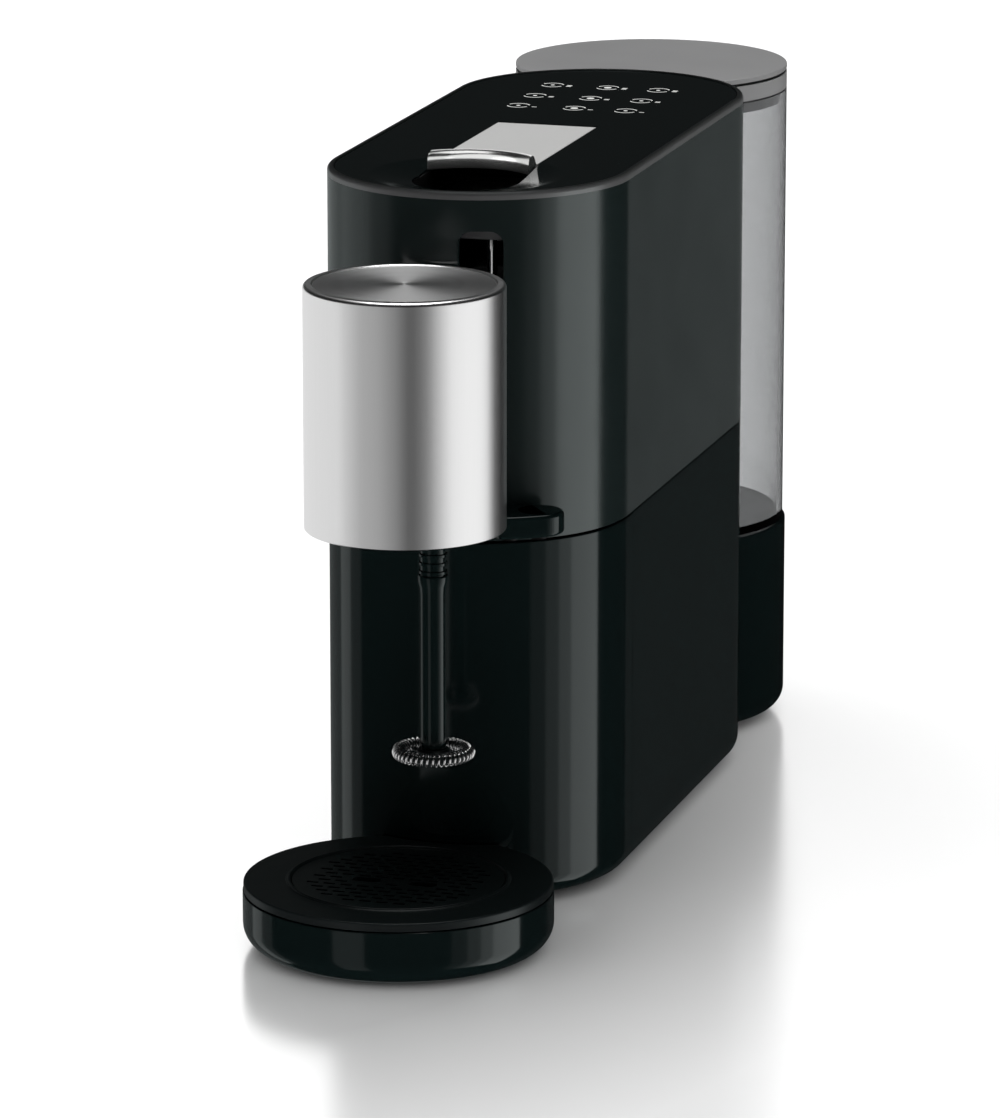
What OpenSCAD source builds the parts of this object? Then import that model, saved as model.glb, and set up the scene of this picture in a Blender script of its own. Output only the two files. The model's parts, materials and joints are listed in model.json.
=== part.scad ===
// Pod coffee machine with a sliding milk frother head and a rear water tank.
// Origin at the middle of the footprint on the table, +Z up, front faces -Y.

/* [Body] */
// Width of the body and diameter of its round front and back
body_w = 116; // [112:1:140]
// Height of the body above the table
body_h = 275.5; // [268:0.5:331]
// Distance between the centres of the round front and the round back
shell_len = 163; // [158:1:196]
// Height of the parting line between the upper and lower housings
seam_h = 143; // [140:0.5:146]
// Thickness of the moulded housing walls
wall = 2.5; // [2:0.1:3]
// Radius of the rounded lower edge of the housings
foot_round = 8; // [5:0.5:10]
// Radius of the soft edge on the top rim
rim_round = 2; // [1:0.1:2.4]
// Gap that shows between two neighbouring housing pieces
part_gap = 0.6; // [0.4:0.1:1]

/* [Capsule lever] */
// Width of the lever plate
lever_w = 39.6; // [36:0.2:44]
// Length of the lever from its lip to the hinge pin
lever_len = 88; // [80:1:100]
// Height of the raised finger lip over the panel
lip_h = 4.5; // [3:0.5:6]
// Diameter of the lever's hinge pin
lever_pin_d = 3; // [2.4:0.1:3.6]
// Radius of the shallow dish around the lever's lip
dish_r = 36; // [32:1:40]
// Radius of the finger well in front of the lip
well_r = 20.4; // [18:0.2:23]

/* [Frother head] */
// Diameter of the brushed head
head_d = 74.5; // [66:0.5:90]
// Height of the brushed head
head_h = 91.5; // [80:0.5:110]
// Gap between the head and the front of the body
head_gap = 1.8; // [1.2:0.1:4]
// Height of the head's lower edge over the parting line
head_over_seam = 14.2; // [12:0.1:18]
// Travel of the head above its lowest place
head_travel = 50; // [30:1:52]
// Offset of the arm and its slot to the right of the middle
arm_x = 16.3; // [10:0.1:20]
// Width of the arm's slot in the upper housing
slot_w = 16.3; // [13:0.1:18]
// Offset of the whisk to the right of the head's centre
whisk_x = 10.7; // [0:0.1:14]
// Diameter of the whisk's shaft
whisk_shaft_d = 9.4; // [7:0.1:11]
// Outer diameter of the whisk's ring
whisk_ring_d = 31; // [24:0.5:36]
// Thickness of the whisk's ring
whisk_coil_d = 5.4; // [4:0.1:7]
// Height of the middle of the whisk's ring above the table
whisk_z = 72.5; // [62:0.5:86]

/* [Coffee outlet] */
// Reach of the outlet nose in front of the body
outlet_reach = 20; // [16:0.5:24]
// Thickness of the outlet nose
outlet_t = 8.6; // [6:0.1:9]

/* [Drip tray] */
// Diameter of the drip tray
tray_d = 115.6; // [100:0.2:138]
// Height of the drip tray's top above the table
tray_h = 25.5; // [22:0.5:30]
// Reach of the drip tray in front of the body
tray_reach = 106.8; // [96:0.1:128]
// Diameter of the round grille
grille_d = 79; // [68:0.5:82]
// Length of one slot of the grille
grille_slot_l = 4.6; // [3:0.1:6]

/* [Water tank] */
// Diameter of the tank
tank_d = 111.4; // [100:0.2:134]
// Reach of the tank behind the body
tank_reach = 78.2; // [70:0.2:94]
// Height of the foot that the tank stands on
dock_h = 84; // [80:0.5:88]
// How far the foot stands proud of the tank all round
dock_proud = 1.1; // [0.5:0.1:2]
// Wall of the clear tank
tank_wall = 2.2; // [1.8:0.1:3]
// Thickness of the tank lid's top plate
lid_t = 2.2; // [1.5:0.1:3]
// Height of the collar under the lid's top plate
collar_h = 6.4; // [5:0.1:8]

/* [Hidden] */
$fn = 96;

// Clearances
slip = 0.3;           // between faces of different moving bodies
run_fit = 0.05;       // radial clearance of a shaft in its bore

// Body stations, measured from the centre of the round front
body_r = body_w / 2;
body_ri = body_r - wall;
tray_r = tray_d / 2;
tank_r = tank_d / 2;
dock_r = tank_r + dock_proud;
head_r = head_d / 2;
tray_y = -(body_r + tray_reach - tray_r);
tank_y = shell_len + body_r + tank_reach - tank_r;
head_y = -(body_r + head_gap + head_r);
front_y = tray_y - tray_r;
rear_y = tank_y + dock_r;
arc_y = -(front_y + rear_y) / 2;

// Levels of the housings
foot_h = 3;
plate_t = 3;
rim_w = 2.4;
rim_h = 3;
rim_z = body_h - rim_h;
split_y = 8;                        // the drawer front ends here on both sides
seam_lo = seam_h - part_gap / 2;
seam_hi = seam_h + part_gap / 2;
deck_z = seam_h + 4;                // deck between the brewing unit and the drawer
deck_t = 3;
back_gap = 1;                       // between the body and the tank

// Top panel
panel_r = body_r - rim_w - 0.15;
panel_t = 3.2;
panel_z1 = body_h - 0.5;
panel_z0 = panel_z1 - panel_t;
dish_deep = 2.6;
lever_y0 = -2;
lever_y1 = lever_y0 + lever_len;    // hinge pin
lever_t = 2.4;
knuckle_r = 3.2;
pin_z = panel_z1 - lever_t - 2.2;
well_y = lever_y0 - 17;
tail_l = 1.6;                       // lever plate behind its pin
window_y1 = lever_y1 + 5.2;
cup_z = panel_z0 - 10;
cup_r = well_r + 2;

// Brewing unit behind the capsule port
capsule_d = 37;
port_y1 = 38;
brew_y0 = 4;
brew_y1 = 72;
brew_z0 = deck_z + deck_t;
brew_z1 = cup_z - 1;
cage_r = 20;
cage_y1 = 38;
cage_z = (brew_z0 + brew_z1) / 2 + 8;
pin_l = 39;

// Coffee outlet
outlet_z0 = seam_hi + 5.2;
outlet_z1 = outlet_z0 + outlet_t;
outlet_r = body_r + outlet_reach;
outlet_end = 35;                    // degrees from straight ahead to the rounded end
outlet_tip = outlet_reach / 2 - 0.6;
outlet_angles = [26, 36];           // degrees from straight ahead to the two nozzles
feed_angle = 31;
feed_z = deck_z + deck_t + 3.5;

// Frother head
head_z = seam_h + head_over_seam;
head_wall = 1.6;
head_z1 = head_z + head_h;
disc_t = 1.6;
arm_h = 40;
arm_z = head_z + 8;
arm_w = slot_w - 3.2;
slot_z0 = arm_z - 6;
slot_z1 = arm_z + arm_h + head_travel + 5.6;
rod_r = 2;
rod_y = -body_r + 18;
rod_x = [arm_x, arm_x - 30];
rod_z0 = deck_z + deck_t;
rod_z1 = arm_z + arm_h + head_travel + 4.4;
cover_z = head_z + 3;
cover_t = 3;
motor_r = 13.8;
motor_h = 38;
motor_z = cover_z + 18;
coupling_r = 6.5;
shaft_r = whisk_shaft_d / 2;
shaft_z1 = cover_z + cover_t + 8;
ring_rt = whisk_coil_d / 2;
ring_rm = whisk_ring_d / 2 - ring_rt;

// Drip tray
bowl_z0 = 1;
bowl_round = 9;
cover_top_t = 3.2;
bowl_z1 = tray_h - cover_top_t - 0.4;
grille_r = grille_d / 2;
grille_t = 2.4;
grid_pitch_x = grille_slot_l + 1.9;
grid_pitch_y = 4.4;
grid_slot_w = 1.7;

// Drawer
bin_x = body_ri - 16;
bin_y0 = -body_ri + 24;
bin_y1 = 44;
bin_z0 = 12;
bin_z1 = seam_lo - 12;
bin_t = 2;
tray_nest_r = tray_r + 0.5;

// Tank and its foot
tank_z0 = dock_h + 0.6;
lid_z1 = body_h - 0.4;
seal_h = 1;
collar_z1 = lid_z1 - lid_t - seal_h;
collar_z0 = collar_z1 - collar_h;
tank_z1 = collar_z0 - 0.6;
tank_floor = 3;
valve_y = tank_y + 14;
valve_r = 11;
stem_r = 2;
stem_z0 = tank_z0 - 7;
spring_r = 3;
spring_z0 = stem_z0 + 1.3;
spring_z1 = tank_z0 - 1;
wire_r = 0.5;
post_r = 2.5;

// Fixed inner parts
pump_y = shell_len - 55;
pump_z = 48;
thermo_y = shell_len - 32;
screw_x = 32;
screw_y = [62, shell_len - 30];
thermo_z = 196;
meter_y = shell_len + 8;
hose_r = 3;
elbow_over = 1.6;

// Places everything that is measured from the centre of the round front.
module from_arc() { translate([0, arc_y, 0]) children(); }

// Half a turn of a half-profile at each end and a straight run between them.
module stadium(y0, y1) {
    translate([0, y0, 0]) rotate([0, 0, 180]) rotate_extrude(angle = 180) children();
    translate([0, y1, 0]) rotate_extrude(angle = 180) children();
    translate([0, y1, 0]) rotate([90, 0, 0]) linear_extrude(y1 - y0) {
        children();
        mirror([1, 0]) children();
    }
}

// Half-profile of a wall from radius ri to ro, with its lower outer edge rounded by rd.
module wall_low(ri, ro, z0, z1, rd) {
    difference() {
        translate([ri, z0]) square([ro - ri, z1 - z0]);
        translate([ro - rd, z0]) square([rd, rd]);
    }
    intersection() {
        translate([ro - rd, z0 + rd]) circle(rd);
        translate([max(ri, ro - rd), z0]) square([ro - max(ri, ro - rd), rd]);
    }
}

// Upright cylinder shorthand.
module rod(x, y, z0, z1, r) { translate([x, y, z0]) cylinder(h = z1 - z0, r = r); }

// Box between two corners.
module block(lo, hi) { translate(lo) cube(hi - lo); }

// ---- Housings ----
module upper_shell() {
    color([0.17, 0.17, 0.17]) from_arc() difference() {
        stadium(0, shell_len) translate([body_ri, seam_hi]) square([wall, rim_z - seam_hi]);
        arm_slot();
        outlet_feed(3.3);
    }
}

// Radial run of the coffee feed through the front wall, with radius r.
module outlet_feed(r) {
    rotate([0, 0, feed_angle]) translate([0, -body_ri + 8, feed_z])
        rotate([90, 0, 0]) cylinder(h = 12, r = r);
}

// Upright slot with rounded top corners for the frother arm.
module arm_slot() {
    corner = 5;
    block([arm_x - slot_w / 2, -body_r - 5, slot_z0], [arm_x + slot_w / 2, -10, slot_z1 - corner]);
    block([arm_x - slot_w / 2 + corner, -body_r - 5, slot_z0], [arm_x + slot_w / 2 - corner, -10, slot_z1]);
    for (s = [-1, 1]) translate([arm_x + s * (slot_w / 2 - corner), -10, slot_z1 - corner])
        rotate([90, 0, 0]) cylinder(h = body_r - 5, r = corner);
}

module lower_shell() {
    color([0.04, 0.04, 0.045]) from_arc() difference() {
        stadium(0, shell_len) wall_low(body_ri, body_r, foot_h, seam_lo, foot_round);
        block([-body_r - 1, -body_r - 1, 0], [body_r + 1, split_y, seam_h + 1]);
    }
}

module base_plate() {
    color([0.08, 0.08, 0.08]) from_arc() difference() {
        stadium(0, shell_len) translate([0, foot_h])
            square([body_r - foot_round - 1, plate_t]);
        rod(0, tray_y, 0, 30, tray_nest_r + 1);
        for (x = [-1, 1], y = screw_y) rod(x * screw_x, y, 0, 30, 1.7);
    }
}

module rubber_feet() {
    color([0.12, 0.12, 0.12]) from_arc() {
        for (x = [-1, 1], y = [20, shell_len - 10])
            rod(x * (body_r - 22), y, 0, foot_h, 7);
        for (x = [-1, 1]) rod(x * 30, tank_y + 22, 0, foot_h, 6);
    }
}

module top_rim() {
    color([0.3, 0.3, 0.31]) from_arc() stadium(0, shell_len) {
        translate([body_r - rim_w, rim_z]) square([rim_w, rim_h - rim_round]);
        translate([body_r - rim_w, rim_z]) square([rim_w - rim_round, rim_h]);
        intersection() {
            translate([body_r - rim_round, body_h - rim_round]) circle(rim_round);
            translate([body_r - rim_w, rim_z]) square([rim_w, rim_h]);
        }
    }
}

module top_panel() {
    color([0.03, 0.03, 0.035]) from_arc() difference() {
        stadium(0, shell_len) translate([0, panel_z0]) square([panel_r, panel_t]);
        translate([0, well_y, panel_z1 - dish_deep]) cylinder(h = dish_deep, r1 = well_r, r2 = dish_r);
        block([-lever_w / 2 - slip, well_y, panel_z0 - 1], [lever_w / 2 + slip, window_y1, body_h]);
        rod(0, well_y, panel_z0 - 1, body_h, well_r);
    }
}

module port_funnel() {
    color([0.06, 0.06, 0.06]) from_arc() difference() {
        union() {
            rod(0, well_y, cup_z, panel_z0, cup_r);
            block([-lever_w / 2 - 2, well_y, cup_z], [lever_w / 2 + 2, port_y1 + 2, panel_z0]);
        }
        rod(0, well_y, cup_z + 2, body_h, well_r);
        block([-lever_w / 2, well_y, cup_z + 2], [lever_w / 2, port_y1, body_h]);
        block([-capsule_d / 2, brew_y0, cup_z - 1], [capsule_d / 2, brew_y0 + 32, cup_z + 3]);
    }
}

// ---- Capsule lever and brewing unit ----
module capsule_lever() {
    scoop_y = well_y - 2;           // centre of the hollow front edge
    scoop_r = 26;
    color([0.78, 0.78, 0.79]) from_arc() {
        difference() {
            union() {
                block([-lever_w / 2, lever_y0 - 4, panel_z1 - lever_t],
                      [lever_w / 2, lever_y1 + tail_l, panel_z1]);
                intersection() {
                    block([-lever_w / 2, lever_y0 - 4, panel_z1 - lever_t],
                          [lever_w / 2, lever_y0 + 16, panel_z1 + lip_h]);
                    rod(0, scoop_y, panel_z1 - lever_t, panel_z1 + lip_h, scoop_r + 2.6);
                }
            }
            rod(0, scoop_y, panel_z1 - 4, panel_z1 + lip_h + 1, scoop_r);
        }
        for (s = [-1, 1]) difference() {
            union() {
                block([s * 12 - 4, lever_y1 - knuckle_r, pin_z],
                      [s * 12 + 4, lever_y1 + tail_l, panel_z1 - lever_t + 0.5]);
                translate([s * 12 - 4, lever_y1, pin_z]) rotate([0, 90, 0]) cylinder(h = 8, r = knuckle_r);
            }
            pin_bore(run_fit);
        }
    }
}

// The lever pin's bore, wider than the pin by g all round.
module pin_bore(g) {
    translate([-lever_w, lever_y1, pin_z]) rotate([0, 90, 0])
        cylinder(h = 2 * lever_w, r = lever_pin_d / 2 + g);
}

module lever_pin() {
    color("silver") from_arc() translate([-pin_l / 2, lever_y1, pin_z]) rotate([0, 90, 0])
        cylinder(h = pin_l, r = lever_pin_d / 2);
}

module brew_frame() {
    ear_x0 = 16.6;
    ear_x1 = 19.4;
    ear_r = 2.1;                    // stays inside the sweep of the lever plate
    color([0.75, 0.74, 0.7]) from_arc() difference() {
        union() {
            for (s = [-1, 1]) {
                block([s * 27 - 2, brew_y0, brew_z0], [s * 27 + 2, lever_y1 + 5, brew_z1]);
                block([min(s * ear_x0, s * 29), lever_y1 - 5, brew_z1 - 6],
                      [max(s * ear_x0, s * 29), lever_y1 + 5, brew_z1]);
                block([min(s * ear_x0, s * ear_x1), lever_y1 - 5, brew_z1 - 1],
                      [max(s * ear_x0, s * ear_x1), lever_y1 + ear_r, pin_z]);
                translate([s * (ear_x0 + ear_x1) / 2, lever_y1, pin_z]) rotate([0, 90, 0])
                    cylinder(h = ear_x1 - ear_x0, r = ear_r, center = true);
            }
            block([-27, brew_y1, brew_z0], [27, brew_y1 + 6, brew_z1 - 6]);
        }
        pin_bore(0);
        translate([0, brew_y1 + 10, cage_z]) rotate([90, 0, 0]) cylinder(h = 14, r = 5);
    }
}

module brew_cage() {
    color([0.62, 0.62, 0.64]) from_arc() difference() {
        union() {
            translate([0, cage_y1, cage_z]) rotate([90, 0, 0]) cylinder(h = 26, r = cage_r);
            block([-24.6, cage_y1 - 22, cage_z - 6], [24.6, cage_y1 - 4, cage_z + 6]);
        }
        translate([0, cage_y1 + 1, cage_z]) rotate([90, 0, 0]) cylinder(h = 23, r = cage_r - 3);
        translate([0, cage_y1 + 1, cage_z]) rotate([90, 0, 0]) cylinder(h = 40, r = 2);
    }
}

module brew_piston() {
    color([0.25, 0.25, 0.26]) from_arc() difference() {
        union() {
            translate([0, brew_y1, cage_z]) rotate([90, 0, 0]) cylinder(h = brew_y1 - cage_y1 - 1, r = 14);
            translate([0, brew_y1 + 12, cage_z]) rotate([90, 0, 0]) cylinder(h = 13, r = 5);
        }
        translate([0, brew_y1 + 13, cage_z]) rotate([90, 0, 0]) cylinder(h = 40, r = 1.5);
    }
}

// ---- Coffee outlet ----
module coffee_outlet() {
    color([0.05, 0.05, 0.055]) from_arc() difference() {
        union() {
            intersection() {
                difference() {
                    rod(0, 0, outlet_z0, outlet_z1, outlet_r);
                    rod(0, 0, outlet_z0 - 1, outlet_z1 + 1, body_r + 0.05);
                }
                linear_extrude(300) polygon([[0, 0], [0, -200], [200 * tan(outlet_end), -200]]);
            }
            rotate([0, 0, outlet_end]) {
                rod(0, -outlet_r + outlet_tip, outlet_z0, outlet_z1, outlet_tip);
                difference() {
                    block([-1, -outlet_r + outlet_tip, outlet_z0], [outlet_tip, -body_r + 4, outlet_z1]);
                    rod(0, 0, outlet_z0 - 1, outlet_z1 + 1, body_r + 0.05);
                }
            }
        }
        rod(0, head_y, outlet_z0 - 1, outlet_z1 + 1, head_r + 1.2);
        for (a = outlet_angles) rotate([0, 0, a]) rod(0, -body_r - 7, outlet_z0 - 1, outlet_z0 + 6, 3);
    }
    color([0.05, 0.05, 0.055]) from_arc() difference() {
        outlet_feed(3);
        rod(0, 0, outlet_z0, outlet_z1, body_ri - 6);
        rotate([0, 0, feed_angle]) translate([0, -body_ri + 9, feed_z])
            rotate([90, 0, 0]) cylinder(h = 10, r = 1.6);
    }
}

module outlet_nozzles() {
    color([0.1, 0.1, 0.1]) from_arc() for (a = outlet_angles) rotate([0, 0, a]) difference() {
        rod(0, -body_r - 7, outlet_z0 - 3, outlet_z0 + 6, 3);
        rod(0, -body_r - 7, outlet_z0 - 4, outlet_z0 + 7, 1.8);
    }
}

// ---- Inner frame ----
module chassis() {
    wallx = body_ri - 0.4;
    color([0.35, 0.35, 0.36]) from_arc() difference() {
        union() {
            stadium(0, shell_len) translate([0, deck_z]) square([wallx, deck_t]);
            block([-wallx + 1, bin_y1 + 6, foot_h + plate_t], [wallx - 1, bin_y1 + 9, deck_z]);
        }
        block([-16, 10, deck_z - 1], [16, 60, deck_z + deck_t + 1]);
        rod(0, shell_len + 20, deck_z - 1, deck_z + deck_t + 1, hose_r + 1.5);
        rod(-36, pump_y + 30, deck_z - 1, deck_z + deck_t + 1, hose_r + 1.5);
    }
}

// ---- Drawer with the used-capsule bin ----
module drawer_front() {
    color([0.03, 0.03, 0.035]) from_arc() difference() {
        stadium(0, shell_len) wall_low(body_ri, body_r, foot_h, seam_lo - 0.4, foot_round);
        block([-body_r - 1, split_y - part_gap, 0], [body_r + 1, shell_len * 2, seam_h + 1]);
        rod(0, tray_y, -1, tray_h + 0.6, tray_nest_r);
    }
}

module capsule_bin() {
    color([0.1, 0.1, 0.1]) from_arc() difference() {
        union() {
            block([-bin_x, bin_y0, bin_z0], [bin_x, bin_y1, bin_z1]);
            block([-14, -sqrt(body_ri * body_ri - 14 * 14) + 0.1, bin_z0 + 40],
                  [14, bin_y0 + 1, bin_z0 + 60]);
        }
        block([-bin_x + bin_t, bin_y0 + bin_t, bin_z0 + bin_t],
              [bin_x - bin_t, bin_y1 - bin_t, bin_z1 + 1]);
    }
}

// ---- Drip tray ----
module drip_bowl() {
    color([0.03, 0.03, 0.035]) from_arc() difference() {
        translate([0, tray_y, 0]) rotate_extrude() {
            wall_low(tray_r - wall, tray_r, bowl_z0, bowl_z1, bowl_round);
            translate([0, bowl_z0]) square([tray_r - bowl_round, wall]);
            difference() {
                translate([tray_r - bowl_round - 2, bowl_z0]) square([bowl_round, bowl_round]);
                translate([tray_r - bowl_round, bowl_z0 + bowl_round]) circle(bowl_round - wall);
                translate([tray_r - bowl_round - 3, bowl_z0 + wall])
                    square([3, bowl_round]);
                translate([tray_r - bowl_round, bowl_z0 + bowl_round]) difference() {
                    translate([0, -bowl_round - 1]) square(bowl_round + 5);
                    circle(bowl_round);
                }
            }
        }
        rod(0, 0, -1, tray_h + 1, body_r + slip + 0.2);
    }
    color([0.03, 0.03, 0.035]) from_arc() intersection() {
        rod(0, tray_y, bowl_z0 + wall - 0.5, bowl_z1, tray_r - wall);
        difference() {
            rod(0, 0, 0, bowl_z1, body_r + slip + 0.2 + wall);
            rod(0, 0, -1, bowl_z1 + 1, body_r + slip + 0.2);
        }
    }
}

module drip_cover() {
    color([0.06, 0.06, 0.06]) from_arc() difference() {
        union() {
            rod(0, tray_y, bowl_z1 + 0.4, tray_h, tray_r - 0.3);
            rod(0, tray_y, tray_h - 1, tray_h + 0.8, grille_r + 2);
        }
        rod(0, tray_y, bowl_z1 - 1, tray_h + 2, grille_r + slip);
        rod(0, 0, -1, tray_h + 2, body_r + slip + 0.2);
    }
    color([0.06, 0.06, 0.06]) from_arc() translate([0, tray_y, 0]) difference() {
        rod(0, 0, tray_h - cover_top_t, tray_h - cover_top_t + 0.6, grille_r + 1);
        rod(0, 0, 0, tray_h, grille_r - 2);
    }
}

module drip_grid() {
    rows = floor((grille_r - 5) / grid_pitch_y);
    color([0.05, 0.05, 0.05]) from_arc() translate([0, tray_y, 0]) difference() {
        rod(0, 0, tray_h - grille_t, tray_h, grille_r);
        for (j = [-rows : rows]) {
            half = sqrt(max(0, pow(grille_r - 5, 2) - pow(j * grid_pitch_y, 2)));
            shift = (j % 2 == 0) ? 0 : grid_pitch_x / 2;
            n = floor((half - grille_slot_l / 2 - shift) / grid_pitch_x);
            for (i = [-n - (shift > 0 ? 1 : 0) : n])
                if (!near_finger_hole(i * grid_pitch_x + shift, j * grid_pitch_y))
                    translate([i * grid_pitch_x + shift, j * grid_pitch_y, 0])
                        block([-grille_slot_l / 2, -grid_slot_w / 2, 0],
                              [grille_slot_l / 2, grid_slot_w / 2, tray_h + 1]);
        }
        for (s = [-1, 1]) translate([s * finger_x, finger_y, 0]) {
            block([-3, -2.6, 0], [3, 2.6, tray_h + 1]);
            for (e = [-1, 1]) rod(e * 3, 0, 0, tray_h + 1, 2.6);
        }
    }
}

finger_x = 10.8;
finger_y = -4.6;
// True where a grille slot would run into one of the two finger holes.
function near_finger_hole(x, y) = abs(abs(x) - finger_x) < 5.6 + grille_slot_l / 2 + 0.8
                                  && abs(y - finger_y) < 2.6 + grid_slot_w / 2 + 0.8;

module tray_feet() {
    color([0.15, 0.15, 0.15]) from_arc() translate([0, tray_y, 0])
        for (a = [90, 215, 325]) rotate([0, 0, a - 90]) rod(0, -30, 0, bowl_z0, 6);
}

// ---- Frother head ----
module head_shell() {
    color([0.72, 0.72, 0.73]) from_arc() difference() {
        translate([0, head_y, head_z]) rotate_extrude() {
            translate([head_r - head_wall, 0]) square([head_wall, head_h - 1.6]);
            translate([head_r - 3.4, head_h - 1.6]) square([2.2, 1.6]);
            intersection() {
                translate([head_r - 1.6, head_h - 1.6]) circle(1.6);
                translate([head_r - 1.6, head_h - 1.6]) square(1.6);
            }
        }
        block([arm_x - arm_w / 2 - 0.2, head_y, arm_z - 0.2],
              [arm_x + arm_w / 2 + 0.2, 0, arm_z + arm_h + 0.2]);
    }
}

module head_top_disc() {
    color([0.8, 0.8, 0.81]) from_arc() rod(0, head_y, head_z1 - disc_t - 0.4, head_z1 - 0.4, head_r - 3.5);
}

module head_under_cover() {
    color([0.05, 0.05, 0.05]) from_arc() difference() {
        rod(0, head_y, cover_z, cover_z + cover_t, head_r - head_wall - 0.2);
        rod(whisk_x, head_y, cover_z - 1, cover_z + cover_t + 1, coupling_r + 1);
        block([arm_x - arm_w / 2 - 0.4, head_y + head_r - 5, cover_z - 1],
              [arm_x + arm_w / 2 + 0.4, 0, cover_z + cover_t + 1]);
    }
}

module head_arm() {
    arm_y0 = head_y + sqrt(pow(head_r - head_wall, 2) - pow(arm_x + arm_w / 2, 2)) - 3;
    color([0.08, 0.08, 0.08]) from_arc() difference() {
        union() {
            block([arm_x - arm_w / 2, arm_y0, arm_z], [arm_x + arm_w / 2, rod_y, arm_z + arm_h]);
            block([rod_x[1] - 5, rod_y - 5, arm_z], [rod_x[0] + 6.5, rod_y + 5, arm_z + arm_h]);
        }
        for (x = rod_x) rod(x, rod_y, arm_z - 1, arm_z + arm_h + 1, rod_r + run_fit);
    }
}

module guide_rods() {
    color([0.75, 0.75, 0.76]) from_arc() for (x = rod_x) rod(x, rod_y, rod_z0, rod_z1, rod_r);
}

module rod_brackets() {
    color([0.2, 0.2, 0.2]) from_arc() for (z = [rod_z0, rod_z1 - 4]) difference() {
        block([rod_x[1] - 5, rod_y - 4, z], [rod_x[0] + 5, rod_y + 4, z + 4]);
        for (x = rod_x) rod(x, rod_y, z - 1, z + 5, rod_r);
    }
}

module motor_bracket() {
    color([0.15, 0.15, 0.15]) from_arc() difference() {
        union() {
            rod(whisk_x, head_y, motor_z - 3, motor_z, motor_r + 4);
            for (a = [0, 120, 240]) translate([whisk_x, head_y, 0]) rotate([0, 0, a + 180])
                rod(motor_r + 1, 0, cover_z + cover_t, motor_z - 3, 2);
        }
        rod(whisk_x, head_y, motor_z - 4, motor_z + 1, 5);
    }
}

module whisk_motor() {
    color([0.7, 0.7, 0.7]) from_arc() {
        rod(whisk_x, head_y, motor_z, motor_z + motor_h, motor_r);
        rod(whisk_x, head_y, motor_z - 3, motor_z, 4.9);
        rod(whisk_x, head_y, motor_z + motor_h, motor_z + motor_h + 3, 6);
    }
}

module drive_coupling() {
    color([0.1, 0.1, 0.1]) from_arc() difference() {
        rod(whisk_x, head_y, cover_z - 1, motor_z - 3.4, coupling_r);
        rod(whisk_x, head_y, cover_z - 2, shaft_z1 + slip, shaft_r + run_fit);
    }
}

module whisk_shaft() {
    thread_z = cover_z - 20;
    collar_z = thread_z - 7;
    color([0.06, 0.06, 0.06]) from_arc() translate([whisk_x, head_y, 0]) {
        rod(0, 0, whisk_z - 3, shaft_z1, shaft_r);
        for (k = [0 : 3]) rod(0, 0, thread_z + k * 3.2, thread_z + k * 3.2 + 1.6, shaft_r + 0.6);
        translate([0, 0, collar_z]) rotate_extrude()
            polygon([[shaft_r - 0.5, 0], [shaft_r, 0], [shaft_r + 1, 4.5],
                     [shaft_r + 1, 7], [shaft_r - 0.5, 7]]);
    }
}

module whisk_ring() {
    color([0.55, 0.55, 0.56]) from_arc() translate([whisk_x, head_y, whisk_z]) difference() {
        union() {
            rotate_extrude() translate([ring_rm, 0]) circle(ring_rt, $fn = 48);
            rod(0, 0, -4.5, 1.5, shaft_r + 1.6);
            for (a = [30, 150, 270]) rotate([0, 0, a]) translate([shaft_r + 0.6, 0, -1.5])
                rotate([0, 90, 0]) cylinder(h = ring_rm - shaft_r - 0.6, r = 1);
        }
        rod(0, 0, -3, 5, shaft_r);
    }
}

// ---- Water tank ----
// Round outline of radius r behind the body, hollowed by the body's round back grown by g.
module crescent(r, g, z0, z1) {
    difference() {
        rod(0, tank_y, z0, z1, r);
        rod(0, shell_len, z0 - 1, z1 + 1, body_r + g);
        block([-body_r - 20, 0, z0 - 1], [body_r + 20, shell_len + 4, z1 + 1]);
    }
}

module water_tank() {
    color([0.6, 0.6, 0.6, 0.4]) from_arc() difference() {
        crescent(tank_r, back_gap, tank_z0, tank_z1);
        crescent(tank_r - tank_wall, back_gap + tank_wall, tank_z0 + tank_floor, tank_z1 + 1);
        rod(0, valve_y, tank_z0 - 1, tank_z0 + tank_floor + 1, valve_r - 3);
    }
}

module tank_lid() {
    color([0.5, 0.5, 0.5]) from_arc() crescent(tank_r, back_gap, lid_z1 - lid_t, lid_z1);
}

module lid_seal() {
    color([0.1, 0.1, 0.1]) from_arc()
        crescent(tank_r - 0.7, back_gap + 0.7, collar_z1, lid_z1 - lid_t);
}

module lid_collar() {
    color([0.55, 0.55, 0.55]) from_arc() {
        difference() {
            crescent(tank_r, back_gap, collar_z0, collar_z1);
            crescent(tank_r - tank_wall - 2, back_gap + tank_wall + 2, collar_z0 - 1, collar_z1 - 1.6);
        }
        difference() {
            crescent(tank_r - tank_wall - 0.3, back_gap + tank_wall + 0.3, collar_z0 - 5, collar_z0 + 1);
            crescent(tank_r - tank_wall - 2, back_gap + tank_wall + 2, collar_z0 - 6, collar_z0 + 2);
        }
    }
}

module valve_seat() {
    color([0.2, 0.2, 0.2]) from_arc() difference() {
        union() {
            rod(0, valve_y, tank_z0 - 8, tank_z0 + tank_floor, valve_r - 3);
            rod(0, valve_y, tank_z0 + tank_floor, tank_z0 + tank_floor + 3, valve_r);
        }
        rod(0, valve_y, tank_z0 - 9, tank_z0 + tank_floor + 4, stem_r + 0.8);
        rod(0, valve_y, tank_z0 - 9, spring_z1, spring_r + 1.4);
    }
}

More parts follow.
